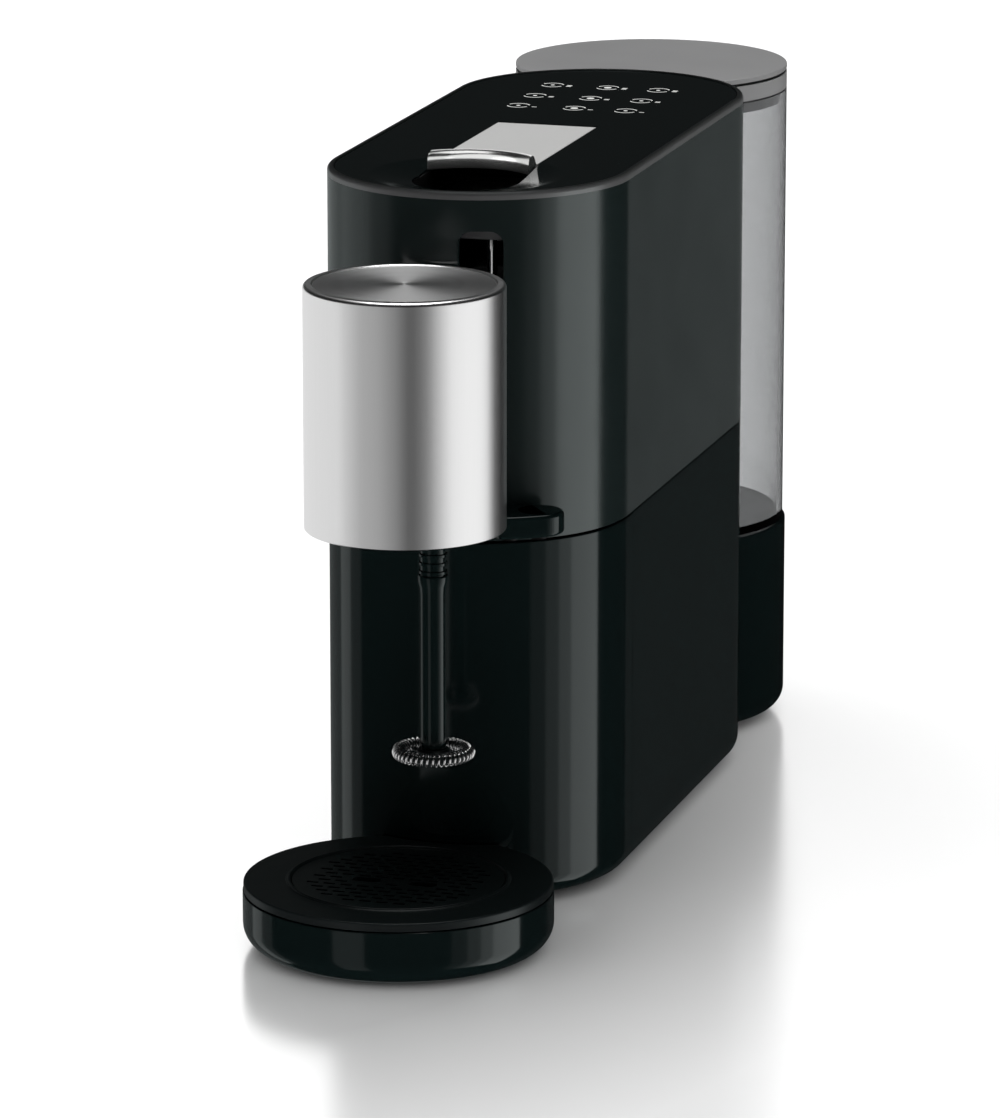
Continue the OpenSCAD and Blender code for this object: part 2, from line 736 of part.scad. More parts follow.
module valve_plunger() {
    color([0.8, 0.4, 0.1]) from_arc() {
        rod(0, valve_y, stem_z0, tank_z0 + tank_floor + 6, stem_r);
        rod(0, valve_y, stem_z0, spring_z0, spring_r + 0.9);
        rod(0, valve_y, tank_z0 + tank_floor + 6, tank_z0 + tank_floor + 9, 6);
    }
}

module valve_spring() {
    coils = 3;
    pitch = (spring_z1 - spring_z0 - 2 * wire_r - 0.2) / (coils - 1);
    color("silver") from_arc() for (k = [0 : coils - 1])
        translate([0, valve_y, spring_z0 + wire_r + 0.1 + k * pitch]) rotate_extrude()
            translate([spring_r, 0]) circle(wire_r, $fn = 16);
}

module tank_dock() {
    color([0.03, 0.03, 0.035]) from_arc() difference() {
        crescent_round(dock_r, 0.4, foot_h, dock_h);
        crescent(dock_r - wall, 0.4 + wall, foot_h - 1, dock_h - wall);
        rod(0, valve_y, dock_h - wall - 1, dock_h + 1, valve_r + 1.5);
        translate([cord_x, tank_y, cord_z]) rotate([-90, 0, 0]) cylinder(h = dock_r + 2, r = 6);
    }
}

// Crescent whose outer lower edge is rounded like the housings.
module crescent_round(r, g, z0, z1) {
    difference() {
        translate([0, tank_y, 0]) rotate_extrude() {
            translate([0, z0]) square([r - foot_round, z1 - z0]);
            wall_low(r - foot_round, r, z0, z1, foot_round);
        }
        rod(0, shell_len, z0 - 1, z1 + 1, body_r + g);
        block([-body_r - 20, 0, z0 - 1], [body_r + 20, shell_len + 4, z1 + 1]);
    }
}

module dock_floor() {
    color([0.08, 0.08, 0.08]) from_arc()
        crescent(dock_r - foot_round - 1.5, 0.6 + wall + 0.2, foot_h, foot_h + plate_t);
}

module dock_socket() {
    color([0.15, 0.15, 0.15]) from_arc() difference() {
        union() {
            rod(0, valve_y, dock_h - 16, dock_h - 0.5, valve_r + 1.2);
            rod(0, valve_y, dock_h - 28, dock_h - 15, 4);
        }
        rod(0, valve_y, dock_h - 12, dock_h + 1, valve_r - 2.4);
        rod(0, valve_y, dock_h - 29, dock_h - 11, 2);
    }
    color([0.15, 0.15, 0.15]) from_arc() difference() {
        rod(0, valve_y, dock_h - 14, stem_z0 - 0.05, post_r);
        rod(0, valve_y, dock_h - 15, dock_h, 1.4);
    }
}

cord_x = 26;
cord_z = 20;
module power_inlet() {
    reach = sqrt(pow(dock_r, 2) - pow(cord_x, 2));
    color([0.1, 0.1, 0.1]) from_arc() translate([cord_x, tank_y + reach, cord_z])
        rotate([90, 0, 0]) difference() {
            union() {
                translate([0, 0, -0.5]) cylinder(h = 13, r = 5.9);
                translate([0, 0, 10]) cylinder(h = 2.5, r = 8);
            }
            translate([0, 0, -1]) cylinder(h = 15, r = 3.6);
        }
}

// ---- Water system ----
module pump() {
    color([0.75, 0.7, 0.3]) from_arc() translate([0, pump_y, pump_z]) {
        block([-22, -20, -18], [22, 16, 18]);
        translate([0, 40, 0]) rotate([90, 0, 0]) cylinder(h = 25, r = 12);
        translate([0, -19, 0]) rotate([90, 0, 0]) cylinder(h = 18, r = 8);
        translate([0, -36, 0]) rotate([90, 0, 0]) cylinder(h = 6, r = 3);
    }
}

module pump_mounts() {
    color([0.1, 0.1, 0.1]) from_arc() for (y = [-12, 8]) difference() {
        block([-28, pump_y + y - 4, foot_h + plate_t], [28, pump_y + y + 4, pump_z + 6]);
        block([-22, pump_y - 20, pump_z - 18], [22, pump_y + 16, pump_z + 18]);
    }
}

module flow_meter() {
    color([0.9, 0.9, 0.88]) from_arc() {
        rod(0, meter_y, 98, 114, 15);
        translate([0, meter_y - 8, 106]) rotate([90, 0, 0]) cylinder(h = 16, r = hose_r);
        rod(0, meter_y + 10, 114, 120, hose_r);
    }
}

module thermoblock() {
    color([0.7, 0.7, 0.72]) from_arc() {
        rod(0, thermo_y, thermo_z - 30, thermo_z + 24, 22);
        for (z = [-22, -8, 6]) rod(0, thermo_y, thermo_z + z, thermo_z + z + 6, 27);
        rod(0, thermo_y, deck_z + deck_t, thermo_z - 30, 8);
        translate([0, thermo_y - 20, cage_z]) rotate([90, 0, 0]) cylinder(h = 11, r = 4);
    }
}

module control_board() {
    color([0.1, 0.4, 0.2]) from_arc() {
        block([-body_ri + 6, 62, deck_z + deck_t + 4], [-body_ri + 7.6, shell_len - 6, panel_z0 - 20]);
        block([-body_ri + 7.6, 80, deck_z + 20], [-body_ri + 20, 96, deck_z + 40]);
        block([-body_ri + 7.6, 110, deck_z + 24], [-body_ri + 16, 126, deck_z + 50]);
    }
}

module touch_board() {
    color([0.1, 0.4, 0.2]) from_arc() {
        block([-36, 102, panel_z0 - 5], [36, shell_len + 36, panel_z0 - 3.4]);
        for (x = [-23, 0, 21], y = [128, 151.5, 177])
            block([x - 1.5, y - 1.5, panel_z0 - 3.4], [x + 1.5, y + 1.5, panel_z0 - 2.2]);
    }
}

// Pipe through corner points: straight runs of radius r with block elbows at the corners.
module pipe(pts, r) {
    for (i = [0 : len(pts) - 2]) {
        d = pts[i + 1] - pts[i];
        l = norm(d);
        translate(pts[i]) rotate([0, acos(d[2] / l), atan2(d[1], d[0])]) cylinder(h = l, r = r);
        if (i > 0) translate(pts[i]) cube(2 * r + elbow_over, center = true);
    }
}

module suction_hose() {
    color([0.85, 0.85, 0.85]) from_arc()
        pipe([[0, meter_y + 10, 120], [0, meter_y + 10, 132], [0, meter_y + 34, 132]], hose_r);
}

module pressure_hose() {
    color([0.85, 0.85, 0.85]) from_arc()
        pipe([[-36, pump_y + 30, pump_z + 24], [-36, pump_y + 30, thermo_z + 34],
              [-36, thermo_y, thermo_z + 34], [0, thermo_y, thermo_z + 34],
              [0, thermo_y, thermo_z + 24]], hose_r - 0.4);
}

module brew_hose() {
    color([0.85, 0.85, 0.85]) from_arc()
        pipe([[0, thermo_y - 31, cage_z], [0, brew_y1 + 12, cage_z]], 2);
}

module case_screws() {
    color("silver") from_arc() for (x = [-1, 1], y = screw_y) {
        rod(x * screw_x, y, foot_h - 1.5, foot_h, 3.2);
        rod(x * screw_x, y, foot_h, foot_h + plate_t + 6, 1.6);
    }
}

upper_shell();
lower_shell();
base_plate();
rubber_feet();
top_rim();
top_panel();
capsule_lever();
lever_pin();
port_funnel();
chassis();
brew_frame();
brew_cage();
brew_piston();
coffee_outlet();
outlet_nozzles();
drawer_front();
capsule_bin();
drip_bowl();
drip_cover();
drip_grid();
tray_feet();
head_shell();
head_top_disc();
head_under_cover();
head_arm();
guide_rods();
rod_brackets();
whisk_motor();
motor_bracket();
drive_coupling();
whisk_shaft();
whisk_ring();
water_tank();
tank_lid();
lid_collar();
lid_seal();
valve_seat();
valve_plunger();
valve_spring();
tank_dock();
dock_floor();
dock_socket();
power_inlet();
pump();
pump_mounts();
flow_meter();
thermoblock();
control_board();
touch_board();
suction_hose();
pressure_hose();
brew_hose();
case_screws();
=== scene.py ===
"""Looks of a pod coffee machine with a sliding frother head and a rear water tank.

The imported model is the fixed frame. Sizes below are millimetres measured from the
centre of the round front; Workshop turns them into metres in the row frame.
"""

from __future__ import annotations

import json
import logging
import math
from dataclasses import dataclass, field
from enum import Enum
from typing import Callable, ClassVar, Sequence

import bmesh
import bpy
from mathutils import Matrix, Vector

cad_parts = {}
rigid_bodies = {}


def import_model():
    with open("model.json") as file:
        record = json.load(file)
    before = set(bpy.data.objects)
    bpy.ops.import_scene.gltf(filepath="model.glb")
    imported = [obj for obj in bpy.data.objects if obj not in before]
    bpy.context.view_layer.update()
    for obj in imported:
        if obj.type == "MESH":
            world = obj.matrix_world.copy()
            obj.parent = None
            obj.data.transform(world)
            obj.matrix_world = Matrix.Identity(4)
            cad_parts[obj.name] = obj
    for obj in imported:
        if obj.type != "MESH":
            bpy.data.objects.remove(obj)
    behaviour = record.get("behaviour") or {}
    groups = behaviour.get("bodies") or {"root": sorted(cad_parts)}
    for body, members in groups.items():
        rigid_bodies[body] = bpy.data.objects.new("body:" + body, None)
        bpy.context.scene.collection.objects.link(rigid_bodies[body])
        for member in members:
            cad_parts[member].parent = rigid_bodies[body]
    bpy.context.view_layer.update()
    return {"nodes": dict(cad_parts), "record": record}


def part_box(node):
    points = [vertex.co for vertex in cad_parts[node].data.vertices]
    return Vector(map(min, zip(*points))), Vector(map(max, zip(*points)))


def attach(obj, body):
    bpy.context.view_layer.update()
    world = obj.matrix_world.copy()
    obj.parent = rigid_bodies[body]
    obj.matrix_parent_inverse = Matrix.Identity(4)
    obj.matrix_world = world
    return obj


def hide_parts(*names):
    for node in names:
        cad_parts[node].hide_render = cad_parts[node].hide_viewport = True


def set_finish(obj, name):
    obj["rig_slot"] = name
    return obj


LOG = logging.getLogger("pod_machine")

Point = tuple[float, float]
Nodes = bpy.types.NodeTree
Node = bpy.types.Node
Socket = bpy.types.NodeSocket
Piece = bpy.types.Object


# ---------------------------------------------------------------- workshop
class Pick(Enum):
    """Kind of mesh element that a selection works on."""

    VERTS = "VERT"
    EDGES = "EDGE"


class Join(Enum):
    """How a second solid changes a first."""

    CUT = "DIFFERENCE"
    KEEP_SHARED = "INTERSECT"
    ADD = "UNION"


def arc(cx: float, cz: float, r: float, start: float, end: float, count: int = 6) -> list[Point]:
    """Points of a circular arc in a half-profile.

    Args:
        cx: Radius of the arc's centre.
        cz: Height of the arc's centre.
        r: Radius of the arc.
        start: First angle in degrees, 0 pointing outwards.
        end: Last angle in degrees.
        count: Number of steps.

    Returns:
        The points from start to end, both included.
    """
    turn = [math.radians(start + (end - start) * i / count) for i in range(count + 1)]
    return [(cx + r * math.cos(a), cz + r * math.sin(a)) for a in turn]


@dataclass
class Workshop:
    """Modelling tools that take millimetres from the centre of the round front.

    Args:
        front_y: Row y of that centre, in metres.
    """

    front_y: float
    made: int = 0

    @classmethod
    def from_frame(cls) -> "Workshop":
        """Reads where the round front's centre is from the upper shell's box."""
        lo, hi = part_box("upper_shell")
        return cls(front_y=lo.y + (hi.x - lo.x) / 2)

    def at(self, x: float, y: float, z: float) -> Vector:
        """Turns millimetres from the front's centre into a row-frame place."""
        return Vector((x / 1000, y / 1000 + self.front_y, z / 1000))

    def span(self, node: str) -> tuple[Vector, Vector]:
        """Returns a CAD node's lowest and highest corner in these millimetres."""
        lo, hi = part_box(node)
        shift = Vector((0, self.front_y, 0))
        return (lo - shift) * 1000, (hi - shift) * 1000

    # ---- selection
    def solo(self, piece: Piece) -> None:
        """Leaves one piece selected and active, in object mode."""
        if bpy.context.mode != "OBJECT":
            bpy.ops.object.mode_set(mode="OBJECT")
        bpy.ops.object.select_all(action="DESELECT")
        piece.select_set(True)
        bpy.context.view_layer.objects.active = piece

    def pick(self, piece: Piece, kind: Pick, test: Callable[..., bool]) -> None:
        """Enters edit mode with the elements that pass a test selected.

        Args:
            piece: The mesh to work on.
            kind: The kind of element.
            test: Gets a vertex's place, or an edge's two places, in millimetres.
        """
        self.solo(piece)
        bpy.ops.object.mode_set(mode="EDIT")
        bpy.ops.mesh.select_mode(type=kind.value)
        bpy.ops.mesh.select_all(action="DESELECT")
        mesh = bmesh.from_edit_mesh(piece.data)
        shift = Vector((0, self.front_y, 0))
        local = lambda co: (co - shift) * 1000  # noqa: E731
        if kind is Pick.VERTS:
            for vert in mesh.verts:
                vert.select_set(test(local(vert.co)))
        else:
            for edge in mesh.edges:
                edge.select_set(test(*(local(vert.co) for vert in edge.verts)))
        mesh.select_flush_mode()
        bmesh.update_edit_mesh(piece.data)

    def edit_all(self, piece: Piece) -> None:
        """Enters edit mode with the whole of one piece selected."""
        self.solo(piece)
        bpy.ops.object.mode_set(mode="EDIT")
        bpy.ops.mesh.select_all(action="SELECT")

    def done(self) -> None:
        """Goes back to object mode."""
        bpy.ops.object.mode_set(mode="OBJECT")

    def modify(self, piece: Piece, kind: str, **settings: object) -> None:
        """Adds a modifier with its settings and applies it."""
        self.solo(piece)
        bpy.ops.object.modifier_add(type=kind)
        step = piece.modifiers[-1]
        for label, value in settings.items():
            setattr(step, label, value)
        bpy.ops.object.modifier_apply(modifier=step.name)

    def settle(self, name: str) -> Piece:
        """Names the new primitive and puts its place into its mesh."""
        piece = bpy.context.object
        piece.name = name
        piece.data.name = name
        bpy.ops.object.transform_apply(location=True, rotation=True, scale=True)
        return piece

    # ---- primitives
    def drum(self, name: str, r: float, z0: float, z1: float, x: float = 0, y: float = 0,
             sides: int = 192) -> Piece:
        """Adds an upright cylinder."""
        bpy.ops.object.select_all(action="DESELECT")
        bpy.ops.mesh.primitive_cylinder_add(
            vertices=sides, radius=r / 1000, depth=(z1 - z0) / 1000,
            location=self.at(x, y, (z0 + z1) / 2), end_fill_type="NGON")
        return self.settle(name)

    def block(self, name: str, lo: Sequence[float], hi: Sequence[float]) -> Piece:
        """Adds a box between two corners."""
        bpy.ops.object.select_all(action="DESELECT")
        middle = [(a + b) / 2 for a, b in zip(lo, hi)]
        bpy.ops.mesh.primitive_cube_add(size=1, location=self.at(*middle))
        bpy.context.object.scale = [(b - a) / 1000 for a, b in zip(lo, hi)]
        return self.settle(name)

    def bar(self, name: str, a: Sequence[float], b: Sequence[float], r: float,
            sides: int = 32) -> Piece:
        """Adds a cylinder between two points."""
        start, end = self.at(*a), self.at(*b)
        bpy.ops.object.select_all(action="DESELECT")
        bpy.ops.mesh.primitive_cylinder_add(
            vertices=sides, radius=r / 1000, depth=(end - start).length,
            location=(start + end) / 2)
        bpy.context.object.rotation_euler = (end - start).to_track_quat("Z", "Y").to_euler()
        return self.settle(name)

    def turned(self, name: str, profile: Sequence[Point], x: float = 0, y: float = 0,
               steps: int = 192, sweep: float = 360, start: float = 0) -> Piece:
        """Extrudes one point along a half-profile and spins it about an upright axis.

        Args:
            name: The piece's name.
            profile: (radius, height) points; a first point repeated last closes a ring.
            x: The axis's x.
            y: The axis's y.
            steps: Number of steps round.
            sweep: Degrees to spin through.
            start: Degrees to turn the profile before the spin, 0 along +X.

        Returns:
            The new piece, with doubles merged and its faces outwards.
        """
        bpy.ops.object.select_all(action="DESELECT")
        bpy.ops.mesh.primitive_plane_add(size=0.001, location=self.at(x + profile[0][0], y, profile[0][1]))
        piece = self.settle(name)
        bpy.ops.object.mode_set(mode="EDIT")
        bpy.ops.mesh.select_mode(type="VERT")
        bpy.ops.mesh.select_all(action="SELECT")
        bpy.ops.mesh.merge(type="CENTER")
        for (r0, z0), (r1, z1) in zip(profile, profile[1:]):
            step = ((r1 - r0) / 1000, 0, (z1 - z0) / 1000)
            bpy.ops.mesh.extrude_region_move(TRANSFORM_OT_translate={"value": step})
        bpy.ops.mesh.select_all(action="SELECT")
        axis = self.at(x, y, 0)
        if start:
            self.done()
            self.turn(piece, start, x, y)
            self.edit_all(piece)
        bpy.ops.mesh.spin(steps=steps, angle=-math.radians(sweep), center=axis, axis=(0, 0, 1))
        bpy.ops.mesh.select_all(action="SELECT")
        bpy.ops.mesh.remove_doubles(threshold=2e-6)
        bpy.ops.mesh.normals_make_consistent(inside=False)
        self.done()
        return piece

    def turn(self, piece: Piece, degrees: float, x: float, y: float) -> None:
        """Turns a piece about an upright axis, with the place kept in its mesh."""
        self.solo(piece)
        angle = math.radians(degrees)
        axis = self.at(x, y, 0)
        piece.rotation_euler = (0, 0, angle)
        piece.location = axis - Vector((axis.x * math.cos(angle) - axis.y * math.sin(angle),
                                        axis.x * math.sin(angle) + axis.y * math.cos(angle), 0))
        bpy.ops.object.transform_apply(location=True, rotation=True, scale=True)

    # ---- shaping
    def stretch(self, piece: Piece, length: float, y: float = 0) -> None:
        """Pulls the rear half of a turned piece back, which leaves straight sides."""
        self.pick(piece, Pick.VERTS, lambda v: v.y > y + 0.01)
        bpy.ops.transform.translate(value=(0, length / 1000, 0))
        self.done()
        for plane in (y + 1.5, y + length - 1.5):
            self.edit_all(piece)
            bpy.ops.mesh.bisect(plane_co=self.at(0, plane, 0), plane_no=(0, 1, 0))
            self.done()

    def trim(self, piece: Piece, place: Sequence[float], outwards: Sequence[float]) -> None:
        """Cuts away what lies on the outward side of a plane and closes the cut."""
        self.edit_all(piece)
        bpy.ops.mesh.bisect(plane_co=self.at(*place), plane_no=outwards, use_fill=True, clear_outer=True)
        self.done()

    def combine(self, piece: Piece, other: Piece, how: Join = Join.CUT) -> None:
        """Applies a boolean with a second solid, which is used up."""
        self.modify(piece, "BOOLEAN", operation=how.value, object=other, solver="EXACT")
        bpy.data.meshes.remove(other.data)

    def bore(self, piece: Piece, r: float, z0: float, z1: float, x: float = 0, y: float = 0,
             sides: int = 192) -> None:
        """Cuts an upright round room out of a piece."""
        self.combine(piece, self.drum("room", r, z0, z1, x, y, sides))

    def round_edges(self, piece: Piece, test: Callable[[Vector, Vector], bool],
                    width: float, segments: int = 5) -> None:
        """Bevels the edges that pass a test."""
        self.pick(piece, Pick.EDGES, test)
        bpy.ops.mesh.bevel(offset=width / 1000, segments=segments, affect="EDGES", clamp_overlap=True)
        self.done()

    def join(self, pieces: Sequence[Piece]) -> Piece:
        """Joins pieces into the first and returns it."""
        self.solo(pieces[0])
        for other in pieces[1:]:
            other.select_set(True)
        bpy.ops.object.join()
        return pieces[0]

    def soften(self, piece: Piece, width: float = 0.3, segments: int = 2,
               angle: float = 32) -> None:
        """Breaks the sharp edges and gives the piece even smooth shading."""
        limit = math.radians(angle)
        if width:
            self.modify(piece, "BEVEL", width=width / 1000, segments=segments, limit_method="ANGLE",
                        angle_limit=limit)
        self.solo(piece)
        bpy.ops.object.shade_smooth_by_angle(angle=limit)
        self.modify(piece, "WEIGHTED_NORMAL", weight=80, keep_sharp=True)

    def hand_over(self, piece: Piece, body: str, finish: "Finish", *nodes: str,
                  edge: tuple[float, ...] | None = None) -> None:
        """Dresses a finished piece and puts it on its body.

        Args:
            piece: The finished piece.
            body: The CAD body that it rides on.
            finish: What it is finished in.
            nodes: The CAD nodes that it stands for.
            edge: What soften gets first, if anything: a width, segments and an angle.
        """
        if edge is not None:
            self.soften(piece, *edge)
        piece.data.materials.clear()
        piece.data.materials.append(finish.material())
        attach(piece, body)
        if finish.slot not in finish.OWN:
            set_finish(piece, finish.slot)
        if nodes:
            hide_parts(*nodes)
        self.made += 1
        LOG.info("%s rides on %s, %d faces", piece.name, body, len(piece.data.polygons))


# ---------------------------------------------------------------- shader groups
def new_group(name: str, inputs: dict[str, float | tuple]) -> Nodes:
    """Makes an empty skin group, which puts out a colour, a roughness and a bump height.

    Args:
        name: The group's name.
        inputs: Socket names with their first values; three numbers make a vector, four a colour.

    Returns:
        The group.
    """
    group = bpy.data.node_groups.new(name, "ShaderNodeTree")
    for label, value in inputs.items():
        kind = "NodeSocketFloat"
        if isinstance(value, tuple):
            kind = "NodeSocketColor" if len(value) == 4 else "NodeSocketVector"
        socket = group.interface.new_socket(name=label, in_out="INPUT", socket_type=kind)
        socket.default_value = value
    for label, kind in (("Colour", "Color"), ("Roughness", "Float"), ("Height", "Float")):
        group.interface.new_socket(name=label, in_out="OUTPUT", socket_type=f"NodeSocket{kind}")
    return group


def feed(tree: Nodes, socket: Socket, value: object) -> None:
    """Links a socket to another one, or gives it a plain value."""
    if isinstance(value, Socket):
        tree.links.new(value, socket)
    else:
        socket.default_value = value


def fill(node: Node, values: dict[str, object]) -> None:
    """Gives a node's named inputs their plain values."""
    for label, value in values.items():
        node.inputs[label].default_value = value


def maths(tree: Nodes, operation: str, a: object, b: object = 0.0, c: object = 0.0) -> Socket:
    """Adds a Math node whose inputs are numbers or sockets and returns its output."""
    node = tree.nodes.new("ShaderNodeMath")
    node.operation = operation
    for socket, value in zip(node.inputs, (a, b, c)):
        feed(tree, socket, value)
    return node.outputs[0]


def noise(tree: Nodes, vector: Socket, scale: object, detail: float = 3.0,
          roughness: float = 0.55) -> Socket:
    """Adds a noise texture on a vector and returns its value."""
    node = tree.nodes.new("ShaderNodeTexNoise")
    fill(node, {"Detail": detail, "Roughness": roughness})
    feed(tree, node.inputs["Scale"], scale)
    feed(tree, node.inputs["Vector"], vector)
    return node.outputs["Fac"]


def swung(group: Nodes, swing: Socket, amount: Socket, middle: object = 1.0) -> Socket:
    """Returns a middle value that swings with a noise of -0.5 to 0.5, by an amount."""
    return maths(group, "MULTIPLY_ADD", swing, maths(group, "MULTIPLY", amount, 4.0), middle)


def skin_outputs(group: Nodes, inside: Node, tone: Socket, gloss: Socket, height: Socket) -> Nodes:
    """Closes a skin group: the colour times a tone, a roughness and a bump height.

    Args:
        group: The group's nodes.
        inside: Its input node, with a Colour.
        tone: Number that the colour is multiplied by.
        gloss: The roughness.
        height: The bump height.

    Returns:
        The group.
    """
    outside = group.nodes.new("NodeGroupOutput")
    tinted = group.nodes.new("ShaderNodeVectorMath")
    tinted.operation = "SCALE"
    group.links.new(inside.outputs["Colour"], tinted.inputs[0])
    group.links.new(tone, tinted.inputs["Scale"])
    group.links.new(tinted.outputs[0], outside.inputs["Colour"])
    group.links.new(gloss, outside.inputs["Roughness"])
    group.links.new(height, outside.inputs["Height"])
    return group


def moulded_skin() -> Nodes:
    """Moulded plastic: slow drift of colour and gloss, and a fine grain for the bump."""
    if "moulded_skin" in bpy.data.node_groups:
        return bpy.data.node_groups["moulded_skin"]
    group = new_group(
        "moulded_skin",
        {"Vector": (0.0, 0.0, 0.0), "Colour": (0.5, 0.5, 0.5, 1.0), "Drift": 0.06, "Roughness": 0.4,
         "Spread": 0.04, "Grain": 1800.0})
    inside = group.nodes.new("NodeGroupInput")
    given = inside.outputs
    slow = maths(group, "SUBTRACT", noise(group, given["Vector"], 14.0, 2.0), 0.5)
    patch = maths(group, "SUBTRACT", noise(group, given["Vector"], 45.0, 3.0), 0.5)
    grain = noise(group, given["Vector"], given["Grain"], 1.0)
    return skin_outputs(group, inside, swung(group, slow, given["Drift"]),
                        swung(group, patch, given["Spread"], given["Roughness"]), grain)


def brush_lines() -> Nodes:
    """Brushed metal: long fine lines across the vector's x, with a slow drift."""
    if "brush_lines" in bpy.data.node_groups:
        return bpy.data.node_groups["brush_lines"]
    group = new_group(
        "brush_lines",
        {"Vector": (0.0, 0.0, 0.0), "Colour": (0.8, 0.8, 0.8, 1.0), "Contrast": 0.08,
         "Roughness": 0.3, "Spread": 0.08})
    inside = group.nodes.new("NodeGroupInput")
    given = inside.outputs
    fine = noise(group, given["Vector"], 1.0, 4.0, 0.75)
    broad = noise(group, given["Vector"], 0.12, 2.0, 0.5)
    both = maths(group, "ADD", maths(group, "MULTIPLY", fine, 0.65), maths(group, "MULTIPLY", broad, 0.35))
    swing = maths(group, "SUBTRACT", both, 0.5)
    return skin_outputs(group, inside, swung(group, swing, given["Contrast"]),
                        swung(group, swing, given["Spread"], given["Roughness"]), both)


def place_group(tree: Nodes, group: Nodes, vector: Socket, **values: object) -> Node:
    """Places a node group in a material with its own values and returns the node."""
    node = tree.nodes.new("ShaderNodeGroup")
    node.node_tree = group
    tree.links.new(vector, node.inputs["Vector"])
    fill(node, values)
    return node


# ---------------------------------------------------------------- finishes
@dataclass(frozen=True)
class Finish:
    """What every finish has: the record's slot, a colour and a roughness."""

    slot: str
    colour: tuple[float, float, float]
    roughness: float = 0.4

    OWN: ClassVar[tuple[str, ...]] = ("icon_white",)

    def material(self) -> bpy.types.Material:
        """Returns the finish's material, made on first use."""
        name = self.label()
        if name in bpy.data.materials:
            return bpy.data.materials[name]
        material = bpy.data.materials.new(name)
        material.use_nodes = True
        tree = material.node_tree
        shader = tree.nodes["Principled BSDF"]
        coordinates = tree.nodes.new("ShaderNodeTexCoord")
        self.dress(tree, shader, coordinates.outputs["Object"])
        return material

    def label(self) -> str:
        """Returns the material's name."""
        return f"finish_{self.slot}"

    def dress(self, tree: Nodes, shader: Node, place: Socket) -> None:
        """Fills the material's nodes; each kind of finish has its own."""
        raise NotImplementedError

    def wire(self, tree: Nodes, shader: Node, skin: Node, depth: float) -> None:
        """Joins a skin group's colour, roughness and height to the shader.

        Args:
            tree: The material's nodes.
            shader: Its Principled BSDF.
            skin: The placed skin group.
            depth: Bump height in metres.
        """
        tree.links.new(skin.outputs["Colour"], shader.inputs["Base Color"])
        tree.links.new(skin.outputs["Roughness"], shader.inputs["Roughness"])
        bump = tree.nodes.new("ShaderNodeBump")
        fill(bump, {"Strength": 1.0, "Distance": depth})
        tree.links.new(skin.outputs["Height"], bump.inputs["Height"])
        tree.links.new(bump.outputs["Normal"], shader.inputs["Normal"])


@dataclass(frozen=True)
class Moulded(Finish):
    """Moulded plastic or rubber.

    Args:
        drift: How much the colour drifts.
        spread: How much the roughness drifts.
        grain: Grain frequency per metre.
        depth: Grain height in metres.
        coat: Clear gloss over the colour.
        specular: Strength of the surface's own reflection.
        glow: Painted light, how much light the surface gives off though it is no lamp.
    """

    drift: float = 0.05
    spread: float = 0.03
    grain: float = 1800.0
    depth: float = 0.000004
    coat: float = 0.0
    specular: float = 0.5
    glow: float = 0.0

    def dress(self, tree: Nodes, shader: Node, place: Socket) -> None:
        """Fills the nodes of a moulded surface."""
        skin = place_group(tree, moulded_skin(), place, Colour=(*self.colour, 1.0), Drift=self.drift,
                           Roughness=self.roughness, Spread=self.spread, Grain=self.grain)
        self.wire(tree, shader, skin, self.depth)
        fill(shader, {"Coat Weight": self.coat, "Coat Roughness": 0.04, "Specular IOR Level": self.specular})
        if self.glow:
            fill(shader, {"Emission Color": (*self.colour, 1.0), "Emission Strength": self.glow})


class Brushing(Enum):
    """Which way the brush ran."""

    UPRIGHT = "upright lines round a wall"
    ROUND = "circles on a disc"
    ALONG = "straight lines along y"
    CAST = "cast, with no lines"


